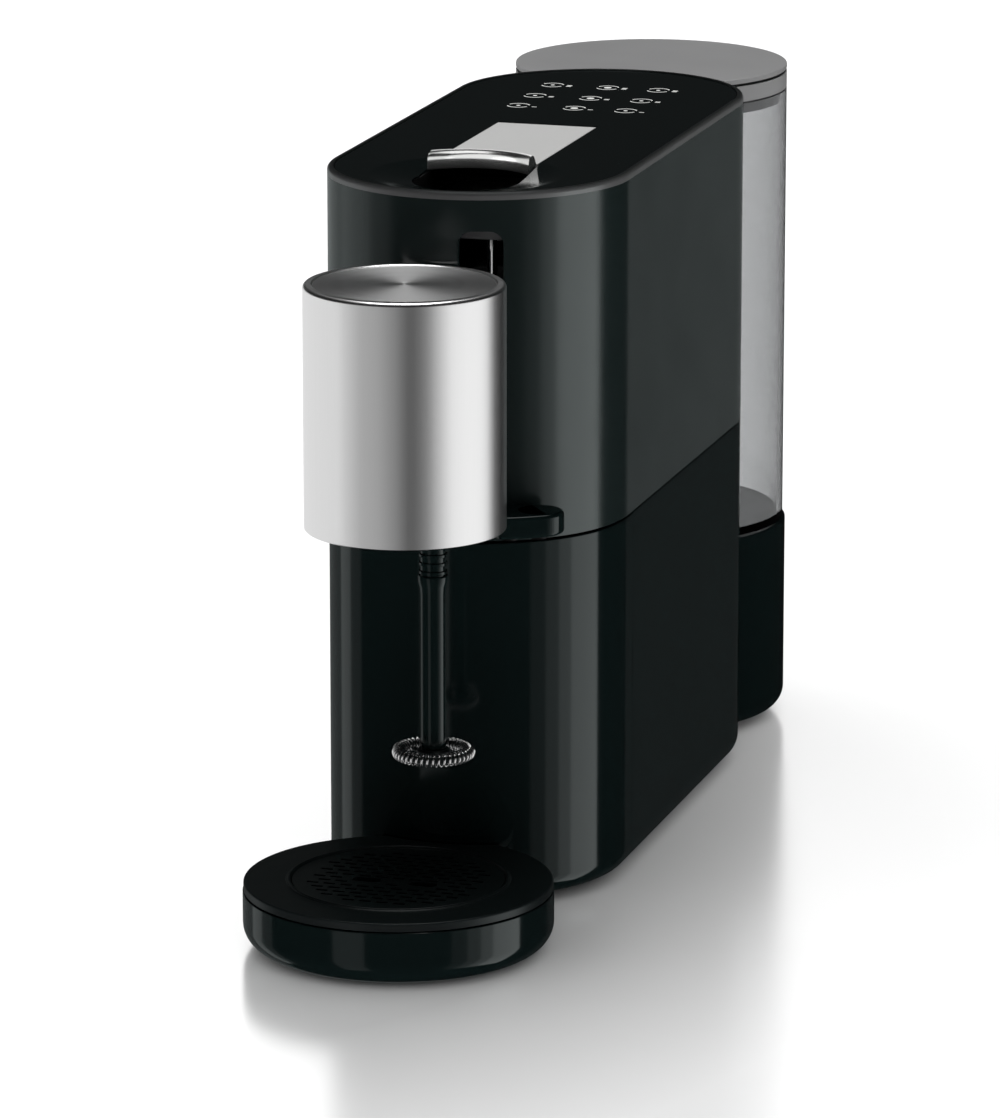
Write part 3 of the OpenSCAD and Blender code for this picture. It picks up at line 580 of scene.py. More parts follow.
@dataclass(frozen=True)
class Metal(Finish):
    """Metal with brushed, turned or cast skin.

    Args:
        brushing: Which way the lines run.
        centre: Axis of the lines, metres in the row frame.
        contrast: How strongly the lines show.
        spread: How much the roughness drifts.
        pitch: Lines per metre.
        stretch: Anisotropy of the highlight.
        wall_r: Radius of a brushed wall, metres.
        cast_grain: Grain frequency of a cast skin, per metre.
    """

    brushing: Brushing = Brushing.CAST
    centre: tuple[float, float] = (0.0, 0.0)
    contrast: float = 0.05
    spread: float = 0.05
    pitch: float = 5000.0
    stretch: float = 0.0
    wall_r: float = 0.037
    cast_grain: float = 600.0

    def label(self) -> str:
        """Names the material by its slot and brushing."""
        return f"finish_{self.slot}_{self.brushing.name.lower()}"

    def dress(self, tree: Nodes, shader: Node, place: Socket) -> None:
        """Fills the nodes of a metal surface."""
        mapping = tree.nodes.new("ShaderNodeMapping")
        mapping.inputs["Location"].default_value = (-self.centre[0], -self.centre[1], 0)
        tree.links.new(place, mapping.inputs["Vector"])
        split = tree.nodes.new("ShaderNodeSeparateXYZ")
        tree.links.new(mapping.outputs["Vector"], split.inputs[0])
        x, y, z = split.outputs
        merge = tree.nodes.new("ShaderNodeCombineXYZ")
        if self.brushing is Brushing.UPRIGHT:
            ways = ((maths(tree, "ARCTAN2", y, x), self.wall_r * self.pitch), None, (z, 40.0))
        elif self.brushing is Brushing.ROUND:
            reach = maths(tree, "SQRT", maths(tree, "ADD", maths(tree, "MULTIPLY", x, x),
                                              maths(tree, "MULTIPLY", y, y)))
            ways = ((reach, self.pitch), None, (maths(tree, "ARCTAN2", y, x), 1.2))
        elif self.brushing is Brushing.ALONG:
            ways = ((x, self.pitch), (y, 60.0), (z, self.pitch))
        else:
            ways = tuple((part, self.cast_grain) for part in (x, y, z))
        for socket, way in zip(merge.inputs, ways):
            if way:
                tree.links.new(maths(tree, "MULTIPLY", *way), socket)
        skin = place_group(tree, brush_lines(), merge.outputs[0], Colour=(*self.colour, 1.0),
                           Contrast=self.contrast, Roughness=self.roughness, Spread=self.spread)
        self.wire(tree, shader, skin, 0.000002)
        fill(shader, {"Metallic": 1.0, "Anisotropic": self.stretch})
        if self.stretch:
            tangent = tree.nodes.new("ShaderNodeTangent")
            tangent.direction_type, tangent.axis = "RADIAL", "Z"
            if self.brushing is Brushing.ROUND:
                shader.inputs["Anisotropic Rotation"].default_value = 0.25
            tree.links.new(tangent.outputs[0], shader.inputs["Tangent"])


@dataclass(frozen=True)
class Clear(Finish):
    """Clear tinted plastic.

    Args:
        ior: Index of refraction.
        haze: How much the roughness drifts.
        smoke: Colour that the wall's body lets through.
        density: How fast the wall's body darkens, per metre.
    """

    ior: float = 1.46
    haze: float = 0.01
    smoke: tuple[float, float, float] = (0.04, 0.05, 0.055)
    density: float = 200.0

    def dress(self, tree: Nodes, shader: Node, place: Socket) -> None:
        """Fills the nodes of a see-through wall."""
        skin = place_group(tree, moulded_skin(), place, Colour=(*self.colour, 1.0), Drift=0.02,
                           Roughness=self.roughness, Spread=self.haze, Grain=300.0)
        self.wire(tree, shader, skin, 0.000003)
        fill(shader, {"Transmission Weight": 1.0, "IOR": self.ior})
        smoke = tree.nodes.new("ShaderNodeVolumeAbsorption")
        fill(smoke, {"Color": (*self.smoke, 1.0), "Density": self.density})
        tree.links.new(smoke.outputs[0], tree.nodes["Material Output"].inputs["Volume"])


@dataclass(frozen=True)
class Board(Finish):
    """Circuit board lacquer with lighter tracks."""

    def dress(self, tree: Nodes, shader: Node, place: Socket) -> None:
        """Fills the nodes of a lacquered board."""
        tracks = tree.nodes.new("ShaderNodeTexBrick")
        fill(tracks, {"Scale": 160.0, "Mortar Size": 0.04, "Color1": (*self.colour, 1.0),
                      "Color2": (*(c * 0.8 for c in self.colour), 1.0),
                      "Mortar": (*(min(1.0, c * 2.2) for c in self.colour), 1.0)})
        tree.links.new(place, tracks.inputs["Vector"])
        tree.links.new(tracks.outputs["Color"], shader.inputs["Base Color"])
        shader.inputs["Roughness"].default_value = self.roughness


@dataclass
class Palette:
    """Every finish of the machine, by record slot.

    Args:
        head_axis: Row-frame x and y of the frother head's axis.
    """

    head_axis: tuple[float, float]
    satin_shell: Moulded = Moulded("satin_shell", (0.0150, 0.0250, 0.0245), 0.20, depth=0.000006, grain=1400.0)
    gloss_black: Moulded = Moulded("gloss_black", (0.0060, 0.0130, 0.0130), 0.11, spread=0.012, drift=0.03,
                                   grain=260.0, depth=0.0000015)
    inner_black: Moulded = Moulded("inner_black", (0.006, 0.006, 0.006), 0.5)
    inner_grey: Moulded = Moulded("inner_grey", (0.16, 0.16, 0.165), 0.5)
    rubber: Moulded = Moulded("rubber", (0.012, 0.012, 0.012), 0.75, grain=900.0, depth=0.00001)
    # The rim's light grey colour is partly the rim's own grey and partly a painted highlight for the bright
    # line its rounded edge catches.
    rim_satin: Moulded = Moulded("rim_satin", (0.15, 0.15, 0.152), 0.3, specular=0.7)
    satin_black: Moulded = Moulded("satin_black", (0.0150, 0.0210, 0.0220), 0.36, grain=2200.0)
    tank_lid_grey: Moulded = Moulded("tank_lid_grey", (0.46, 0.46, 0.463), 0.38)
    orange_part: Moulded = Moulded("orange_part", (0.75, 0.22, 0.03), 0.4)
    hose_clear: Moulded = Moulded("hose_clear", (0.62, 0.62, 0.6), 0.25, coat=0.4)
    # The printed touch marks get painted light: an emission makes them glow though they are no lamp.
    icon_white: Moulded = Moulded("icon_white", (0.78, 0.78, 0.76), 0.45, grain=3000.0, glow=0.9)
    silver_trim: Metal = Metal("silver_trim", (0.80, 0.80, 0.79), 0.24, Brushing.CAST, contrast=0.02)
    lever_plate: Metal = Metal("silver_trim", (0.62, 0.62, 0.61), 0.40, Brushing.ALONG, contrast=0.05)
    steel: Metal = Metal("steel", (0.66, 0.66, 0.66), 0.16, Brushing.CAST, contrast=0.03)
    motor_steel: Metal = Metal("motor_steel", (0.5, 0.5, 0.5), 0.35, Brushing.CAST)
    alu_cast: Metal = Metal("alu_cast", (0.6, 0.6, 0.6), 0.45, Brushing.CAST, contrast=0.09)
    tank_clear: Clear = Clear("tank_clear", (0.97, 0.975, 0.98), 0.03)
    board: Board = Board("board", (0.015, 0.11, 0.05), 0.3)

    @property
    def head_wall(self) -> Metal:
        """Brushed wall of the frother head."""
        return Metal("brushed_alu", (0.70, 0.70, 0.70), 0.30, Brushing.UPRIGHT, self.head_axis, 0.035, 0.03,
                     5200.0, 0.35)

    @property
    def head_disc(self) -> Metal:
        """Circular-brushed top of the frother head."""
        return Metal("brushed_alu", (0.62, 0.62, 0.62), 0.42, Brushing.ROUND, self.head_axis, 0.06, 0.05,
                     4200.0, 0.50)

    def by_slot(self, slot: str) -> Finish:
        """Returns the finish for a record slot."""
        if slot == "brushed_alu":
            return self.head_wall
        return getattr(self, slot)


# ---------------------------------------------------------------- sub-assemblies
@dataclass
class SubAssembly:
    """What every sub-assembly needs: the workshop and the palette."""

    shop: Workshop
    paint: Palette

    def build(self) -> None:
        """Builds and dresses the pieces; each sub-assembly has its own."""
        raise NotImplementedError


@dataclass
class Housing(SubAssembly):
    """Upper shell, lower shell, drawer front, rim and glossy top panel."""

    wall: float = 2.5
    foot_round: float = 8.0
    foot_z: float = 3.0
    split_y: float = 8.0
    split_gap: float = 0.6
    slot_x: float = 16.3
    slot_w: float = 16.3
    slot_z: tuple[float, float] = (159.2, 260.8)
    slot_round: float = 5.0
    well_y: float = -19.0
    well_r: float = 20.4
    dish_r: float = 36.0
    dish_deep: float = 2.6
    window_x: float = 20.1
    window_y: float = 91.2
    nest: tuple[float, float, float] = (-107.0, 58.3, 26.1)

    def __post_init__(self) -> None:
        """Reads the body's radius and length from the frame."""
        lo, hi = self.shop.span("upper_shell")
        self.radius = hi.x
        self.length = hi.y - self.radius
        self.upper = (lo.z, hi.z)

    def build(self) -> None:
        """Builds the five housing pieces."""
        self.upper_shell()
        self.lower_shell()
        self.drawer_front()
        self.top_rim()
        self.top_panel()

    def upper_shell(self) -> None:
        """Satin wall with the frother arm's slot."""
        r, ri, (z0, z1) = self.radius, self.radius - self.wall, self.upper
        piece = self.shop.turned("upper_shell_skin", [(ri, z0), (r, z0), (r, z1), (ri, z1), (ri, z0)])
        self.shop.stretch(piece, self.length)
        half, low, high = self.slot_w / 2, self.slot_z[0], self.slot_z[1]
        hole = self.shop.block("slot_cut", (self.slot_x - half, -r - 6, low), (self.slot_x + half, -10, high))
        self.shop.round_edges(hole, lambda a, b: min(a.z, b.z) > high - 1 and abs(a.x - b.x) < 0.1,
                              self.slot_round)
        self.shop.combine(piece, hole)
        self.shop.hand_over(piece, "housing", self.paint.satin_shell, "upper_shell", edge=(0.35,))

    def lower_wall(self, name: str, top: float) -> Piece:
        """Turns and stretches the lower wall with its rounded foot."""
        r, t, rd, z0 = self.radius, self.wall, self.foot_round, self.foot_z
        outer = [(r - rd - 1.5, z0), *arc(r - rd, z0 + rd, rd, -90, 0, 10)]
        inner = arc(r - rd, z0 + rd, rd - t, 0, -90, 8)
        profile = [*outer, (r, top - 0.3), (r - 0.3, top), (r - t, top), *inner, (r - rd - 1.5, z0 + t),
                   (r - rd - 1.5, z0)]
        piece = self.shop.turned(name, profile)
        self.shop.stretch(piece, self.length)
        return piece

    def lower_shell(self) -> None:
        """Glossy side and rear wall behind the drawer front."""
        piece = self.lower_wall("lower_shell_skin", self.shop.span("lower_shell")[1].z)
        self.shop.trim(piece, (0, self.split_y, 0), (0, -1, 0))
        self.shop.hand_over(piece, "housing", self.paint.gloss_black, "lower_shell", edge=(0.25,))

    def drawer_front(self) -> None:
        """Glossy round front of the used-capsule drawer, with the tray's nest."""
        piece = self.lower_wall("drawer_front_skin", self.shop.span("drawer_front")[1].z)
        self.shop.trim(piece, (0, self.split_y - self.split_gap, 0), (0, 1, 0))
        y, r, z = self.nest
        self.shop.bore(piece, r, -2, z, 0, y)
        self.shop.hand_over(piece, "drawer", self.paint.gloss_black, "drawer_front", edge=(0.25,))

    def top_rim(self) -> None:
        """Thin satin rim with a rounded outer edge; its light grey colour is partly a painted highlight along
        that edge.
        """
        lo, hi = self.shop.span("top_rim")
        r, z0, z1, rd, w = self.radius, lo.z, hi.z, 1.7, 2.4
        profile = [(r - w, z0), (r, z0), *arc(r - rd, z1 - rd, rd, 0, 90, 6), (r - w + 0.2, z1),
                   (r - w, z1 - 0.2), (r - w, z0)]
        piece = self.shop.turned("top_rim_band", profile)
        self.shop.stretch(piece, self.length)
        self.shop.hand_over(piece, "housing", self.paint.rim_satin, "top_rim", edge=(0,))

    def top_panel(self) -> None:
        """Glossy panel with the shallow dish, the finger well and the lever's window."""
        lo, hi = self.shop.span("top_panel")
        r, z0, z1 = hi.x, lo.z, hi.z
        piece = self.shop.turned("top_panel_plate", [(0, z0), (r, z0), (r, z1 - 0.3), (r - 0.3, z1), (0, z1)])
        self.shop.stretch(piece, self.length)
        slope = (self.dish_r - self.well_r) / self.dish_deep
        low = z1 - self.dish_deep
        dish = [(0, z0 - 2), (self.well_r, z0 - 2), (self.well_r, low), (self.dish_r - 2.5, z1 - 0.42),
                (self.dish_r + 0.2, z1 - 0.08), (self.dish_r + 3, z1 + 0.3), (self.dish_r + 3, z1 + slope),
                (0, z1 + slope)]
        self.shop.combine(piece, self.shop.turned("dish_cut", dish, 0, self.well_y))
        self.shop.combine(piece, self.shop.block(
            "window_cut", (-self.window_x, self.well_y, z0 - 1), (self.window_x, self.window_y, z1 + 9)))
        self.shop.hand_over(piece, "housing", self.paint.gloss_black, "top_panel", edge=(0.18, 2, 24))


@dataclass
class TouchField(SubAssembly):
    """Printed touch marks with a painted glow: three rows of three rings with plain signs in them."""

    columns: tuple[float, ...] = (-23.0, 0.0, 21.0)
    rows: tuple[float, ...] = (128.0, 151.5, 177.0)
    ring_r: float = 4.6
    line: float = 0.45
    ink: float = 0.05

    def build(self) -> None:
        """Builds every mark as one printed layer."""
        top = self.shop.span("top_panel")[1].z
        marks = []
        for i, x in enumerate(self.columns):
            for j, y in enumerate(self.rows):
                marks += self.mark(x, y, top, i, j)
        piece = self.shop.join(marks)
        piece.name = "touch_marks"
        self.shop.solo(piece)
        bpy.ops.object.shade_flat()
        self.shop.hand_over(piece, "housing", self.paint.icon_white)

    def mark(self, x: float, y: float, z: float, column: int, row: int) -> list[Piece]:
        """Builds one mark: a broken ring, a dot, and level bars that grow with the row."""
        top = z + self.ink
        pieces = []
        r, w = self.ring_r, self.line
        profile = [(r - w, z), (r, z), (r, top), (r - w, top), (r - w, z)]
        for start in (25, 205):
            pieces.append(self.shop.turned(f"ring_{column}_{row}_{start}", profile, x, y, 20, 130, start))
        size = 1.5 if column == 1 else 0.8
        pieces.append(self.shop.drum(f"dot_{column}_{row}", size, z, top, x, y, 20))
        for k in range(row + 1):
            lift = -1.9 + 1.2 * k
            pieces.append(self.shop.block(f"bar_{column}_{row}_{k}", (x + r + 1.4, y + lift, z),
                                          (x + r + 3.4, y + lift + 0.5, top)))
        return pieces


@dataclass
class Lever(SubAssembly):
    """Silver capsule lever with a raised hollow lip."""

    width: float = 39.6
    thick: float = 2.4
    scoop_y: float = -21.0
    scoop_r: float = 26.0
    lip: float = 3.3
    lip_h: float = 4.5

    def build(self) -> None:
        """Builds the plate, the lip and the hinge knuckles."""
        hi = self.shop.span("capsule_lever")[1]
        half, top = self.width / 2, hi.z - self.lip_h
        low, back = top - self.thick, hi.y
        plate = self.shop.block("lever_plate", (-half, -6, low), (half, back, top))
        self.shop.bore(plate, self.scoop_r + 1, low - 3, top + 9, 0, self.scoop_y)
        self.shop.soften(plate, 0.5, 3)
        r, w, crest = self.scoop_r, self.lip, hi.z - self.lip
        profile = [(r + 0.5, low), (r, low + 0.6), *arc(r + w, crest, w, 180, 50, 12),
                   (r + w + 3.3, crest + w - 2.2), (r + w + 4.4, top + 0.5), (r + w + 5.5, top + 0.02),
                   (r + w + 5.5, low + 0.1), (r + 0.5, low)]
        lip = self.shop.turned("lever_lip", profile, 0, self.scoop_y, 120, 130, 25)
        self.shop.trim(lip, (half, 0, 0), (1, 0, 0))
        self.shop.trim(lip, (-half, 0, 0), (-1, 0, 0))
        self.shop.soften(lip, 0.3, 2, 40)
        pin = self.shop.span("lever_pin")
        py, pz = (pin[0].y + pin[1].y) / 2, (pin[0].z + pin[1].z) / 2
        knuckles = []
        for side in (-1, 1):
            x = side * 12
            eye = self.shop.bar(f"knuckle_{side}", (x - 4, py, pz), (x + 4, py, pz), 3.2, 48)
            web = self.shop.block(f"web_{side}", (x - 4, py - 3.2, pz), (x + 4, py + 1.6, low + 0.4))
            self.shop.combine(eye, web, Join.ADD)
            self.shop.combine(eye, self.shop.bar("bore", (x - 6, py, pz), (x + 6, py, pz), 1.55, 48))
            self.shop.soften(eye, 0.2)
            knuckles.append(eye)
        self.shop.hand_over(plate, "lever", self.paint.lever_plate, "capsule_lever")
        self.shop.hand_over(lip, "lever", self.paint.silver_trim)
        for eye in knuckles:
            self.shop.hand_over(eye, "lever", self.paint.inner_grey)


@dataclass
class Outlet(SubAssembly):
    """Glossy coffee outlet nose that follows the round front."""

    reach: float = 20.0
    end: float = 35.0
    edge: float = 1.6
    heights: tuple[float, float] = (148.5, 157.1)
    head_r: float = 38.45
    head_y: float = -97.05

    def build(self) -> None:
        """Builds the nose from a spun bar and a round tip."""
        z0, z1 = self.heights
        r = self.shop.span("upper_shell")[1].x
        inner, outer, e = r + 0.05, r + self.reach, self.edge
        profile = [(inner, z0), (outer - e, z0), *arc(outer - e, z0 + e, e, -90, 0, 5),
                   *arc(outer - e, z1 - e, e, 0, 90, 5), (inner, z1), (inner, z0)]
        nose = self.shop.turned("outlet_nose", profile, 0, 0, 60, self.end, -90)
        self.cap(nose)
        self.shop.bore(nose, self.head_r, z0 - 2, z1 + 2, 0, self.head_y)
        tip_r = self.reach / 2 - 0.6
        a = math.radians(self.end)
        mid = outer - tip_r
        tx, ty = mid * math.sin(a), -mid * math.cos(a)
        profile = [(0, z0), (tip_r - e, z0), *arc(tip_r - e, z0 + e, e, -90, 0, 5),
                   *arc(tip_r - e, z1 - e, e, 0, 90, 5), (0, z1)]
        tip = self.shop.turned("outlet_tip", profile, tx, ty, 72)
        self.shop.bore(tip, inner, z0 - 2, z1 + 2)
        piece = self.shop.join([nose, tip])
        piece.name = "outlet_nose"
        self.shop.hand_over(piece, "housing", self.paint.gloss_black, "coffee_outlet", edge=(0, 2, 40))

    def cap(self, piece: Piece) -> None:
        """Closes the open ends that a part spin leaves."""
        self.shop.edit_all(piece)
        bpy.ops.mesh.select_all(action="DESELECT")
        bpy.ops.mesh.select_non_manifold()
        bpy.ops.mesh.edge_face_add()
        bpy.ops.mesh.select_all(action="SELECT")
        bpy.ops.mesh.normals_make_consistent(inside=False)
        self.shop.done()


@dataclass
class FrotherHead(SubAssembly):
    """Brushed head with its top disc."""

    wall: float = 1.6
    edge: float = 1.6
    rim: float = 3.4
    arm_x: tuple[float, float] = (9.55, 23.05)

    def build(self) -> None:
        """Builds the wall and the disc."""
        lo, hi = self.shop.span("head_shell")
        r, y = (hi.x - lo.x) / 2, lo.y + (hi.x - lo.x) / 2
        z0, z1, w, e = lo.z, hi.z, self.wall, self.edge
        profile = [(r - w, z0), (r - 0.4, z0), (r, z0 + 0.4), *arc(r - e, z1 - e, e, 0, 90, 7),
                   (r - self.rim + 0.3, z1), (r - self.rim, z1 - 0.3), (r - self.rim, z1 - 1.8),
                   (r - w, z1 - 1.8), (r - w, z0)]
        shell = self.shop.turned("head_wall", profile, 0, y, 256)
        arm_lo, arm_hi = self.shop.span("head_arm")
        self.shop.combine(shell, self.shop.block(
            "arm_cut", (self.arm_x[0], y, arm_lo.z - 0.2), (self.arm_x[1], y + 60, arm_hi.z + 0.2)))
        self.shop.hand_over(shell, "head", self.paint.head_wall, "head_shell", edge=(0, 2, 28))
        dlo, dhi = self.shop.span("head_top_disc")
        dr = (dhi.x - dlo.x) / 2
        profile = [(0, dlo.z), (dr, dlo.z), (dr, dhi.z - 0.25), (dr - 0.25, dhi.z), (dr * 0.5, dhi.z),
                   (dr * 0.02, dhi.z), (0, dhi.z)]
        disc = self.shop.turned("head_disc", profile, 0, y)
        self.shop.hand_over(disc, "head", self.paint.head_disc, "head_top_disc", edge=(0, 2, 28))


@dataclass
class Whisk(SubAssembly):
    """Milk whisk: ribbed shaft and a ring wound from spring wire."""

    wire: float = 0.42
    turns: int = 44
    per_turn: int = 10
    tube: float = 2.7
    hub: float = 6.3
    shaft_r: float = 4.7
    collar_z: float = 133.2
    thread_z: float = 140.2
    rib_pitch: float = 3.2

    def build(self) -> None:
        """Builds the shaft and the ring."""
        lo, hi = self.shop.span("whisk_shaft")
        rlo, rhi = self.shop.span("whisk_ring")
        x, y = (rlo.x + rhi.x) / 2, (rlo.y + rhi.y) / 2
        ring_z = rhi.z - self.tube
        self.shaft(x, y, lo.z, hi.z)
        self.ring(x, y, ring_z, (rhi.x - rlo.x) / 2)

    def shaft(self, x: float, y: float, z0: float, z1: float) -> None:
        """Glossy shaft with a flared collar and four ribs."""
        r, collar, thread = self.shaft_r, self.collar_z, self.thread_z
        profile = [(0, z0), (r - 0.3, z0), (r, z0 + 0.3), (r, collar), (r + 0.45, collar + 2.6),
                   (r + 1.0, collar + 4.5), (r + 1.0, thread - 0.7), (r + 0.7, thread - 0.2), (r, thread)]
        for k in range(4):
            base = thread + 0.3 + self.rib_pitch * k
            profile += [(r, base), (r + 0.6, base + 0.35), (r + 0.6, base + 1.25), (r, base + 1.6)]
        profile += [(r, z1), (0, z1)]
        piece = self.shop.turned("whisk_stem", profile, x, y, 64)
        self.shop.hand_over(piece, "whisk", self.paint.gloss_black, "whisk_shaft", edge=(0, 2, 35))

    def ring(self, x: float, y: float, z: float, outer: float) -> None:
        """Spring wire wound round a hoop, on a hub with three spokes."""
        tube = self.tube - self.wire
        major = outer - self.tube
        count = self.turns * self.per_turn
        line = bpy.data.curves.new("whisk_coil", "CURVE")
        line.dimensions = "3D"
        line.bevel_depth = self.wire / 1000
        line.bevel_resolution = 1
        spline = line.splines.new("POLY")
        spline.points.add(count - 1)
        for i in range(count):
            round_way = 2 * math.pi * i / count
            wind = 2 * math.pi * i / self.per_turn
            reach = major + tube * math.cos(wind)
            place = self.shop.at(x + reach * math.cos(round_way), y + reach * math.sin(round_way),
                                 z + tube * math.sin(wind))
            spline.points[i].co = (*place, 1.0)
        spline.use_cyclic_u = True
        coil = bpy.data.objects.new("whisk_coil", line)
        bpy.context.collection.objects.link(coil)
        self.shop.solo(coil)
        bpy.ops.object.convert(target="MESH")
        coil = bpy.context.object
        self.shop.solo(coil)
        bpy.ops.object.shade_smooth()
        self.shop.hand_over(coil, "whisk", self.paint.steel)
        bpy.ops.object.select_all(action="DESELECT")
        bpy.ops.mesh.primitive_torus_add(location=self.shop.at(x, y, z), major_radius=major / 1000,
                                         minor_radius=0.0013, major_segments=72, minor_segments=12)
        hoop = self.shop.settle("whisk_hoop")
        hub = self.shop.turned("whisk_hub", [(0, z - 4.5), (self.hub - 1.2, z - 4.5), (self.hub, z - 3.4),
                                             (self.hub, z + 0.8), (self.hub - 0.7, z + 1.5), (4.75, z + 1.5),
                                             (4.75, z - 2.9), (0, z - 2.9)], x, y, 64)
        spokes = []
        for angle in (30, 150, 270):
            a = math.radians(angle)
            ends = [(x + r * math.cos(a), y + r * math.sin(a), z + lift)
                    for r, lift in ((5.5, -1.5), (major, -0.6))]
            spokes.append(self.shop.bar(f"spoke_{angle}", *ends, 0.9, 16))
        piece = self.shop.join([hoop, hub, *spokes])
        piece.name = "whisk_hoop"
        self.shop.hand_over(piece, "whisk", self.paint.satin_black, "whisk_ring", edge=(0, 2, 35))


@dataclass
class DripTray(SubAssembly):
    """Round tray: glossy bowl and satin cover."""

    wall: float = 2.5
    foot_round: float = 9.0
    notch_r: float = 58.5
    grille_r: float = 39.5

    def build(self) -> None:
        """Builds the bowl and the cover."""
        lo, hi = self.shop.span("drip_bowl")
        r = hi.x
        y = lo.y + r
        z0, z1, rd, t = lo.z, hi.z, self.foot_round, self.wall
        wall = [(0, z0), *arc(r - rd, z0 + rd, rd, -90, 0, 10), (r, z1 - 0.25), (r - 0.25, z1), (r - t, z1),
                *arc(r - rd, z0 + rd, rd - t, 0, -90, 8), (0, z0 + t)]
        bowl = self.shop.turned("tray_bowl", wall, 0, y)
        self.shop.bore(bowl, self.notch_r, -3, 40, 0, 0)
        back = self.shop.drum("tray_back", self.notch_r + t, z0 + t - 0.5, z1)
        self.shop.bore(back, self.notch_r, -3, 40)
        self.shop.combine(back, self.shop.drum("bowl_room", r - t + 0.1, -3, 40, 0, y), Join.KEEP_SHARED)
        self.shop.hand_over(bowl, "tray", self.paint.gloss_black, "drip_bowl", edge=(0.2, 2, 30))
        self.shop.hand_over(back, "tray", self.paint.gloss_black, edge=(0.2, 2, 30))
        clo, chi = self.shop.span("drip_cover")
        cr = chi.x
        top, low = chi.z - 0.8, clo.z
        g = self.grille_r + 0.3
        profile = [(g, low + 0.6), (cr - 0.2, low), (cr, low + 0.2), (cr, top - 0.7),
                   *arc(cr - 0.7, top - 0.7, 0.7, 0, 90, 4), (g + 2.1, top), (g + 1.7, top + 0.35),
                   *arc(g + 0.9, top + 0.2, 0.6, 10, 170, 6), (g, top - 0.1), (g, low + 0.6)]
        cover = self.shop.turned("tray_cover", profile, 0, y)
        profile = [(g - 2.0, low), (g + 1.0, low), (g + 1.0, low + 0.6), (g - 2.0, low + 0.6), (g - 2.0, low)]
        ledge = self.shop.turned("tray_ledge", profile, 0, y, 96)
        self.shop.bore(cover, self.notch_r, -3, 40, 0, 0)
        piece = self.shop.join([cover, ledge])
        piece.name = "tray_cover"
        self.shop.hand_over(piece, "tray", self.paint.satin_black, "drip_cover", edge=(0, 2, 30))


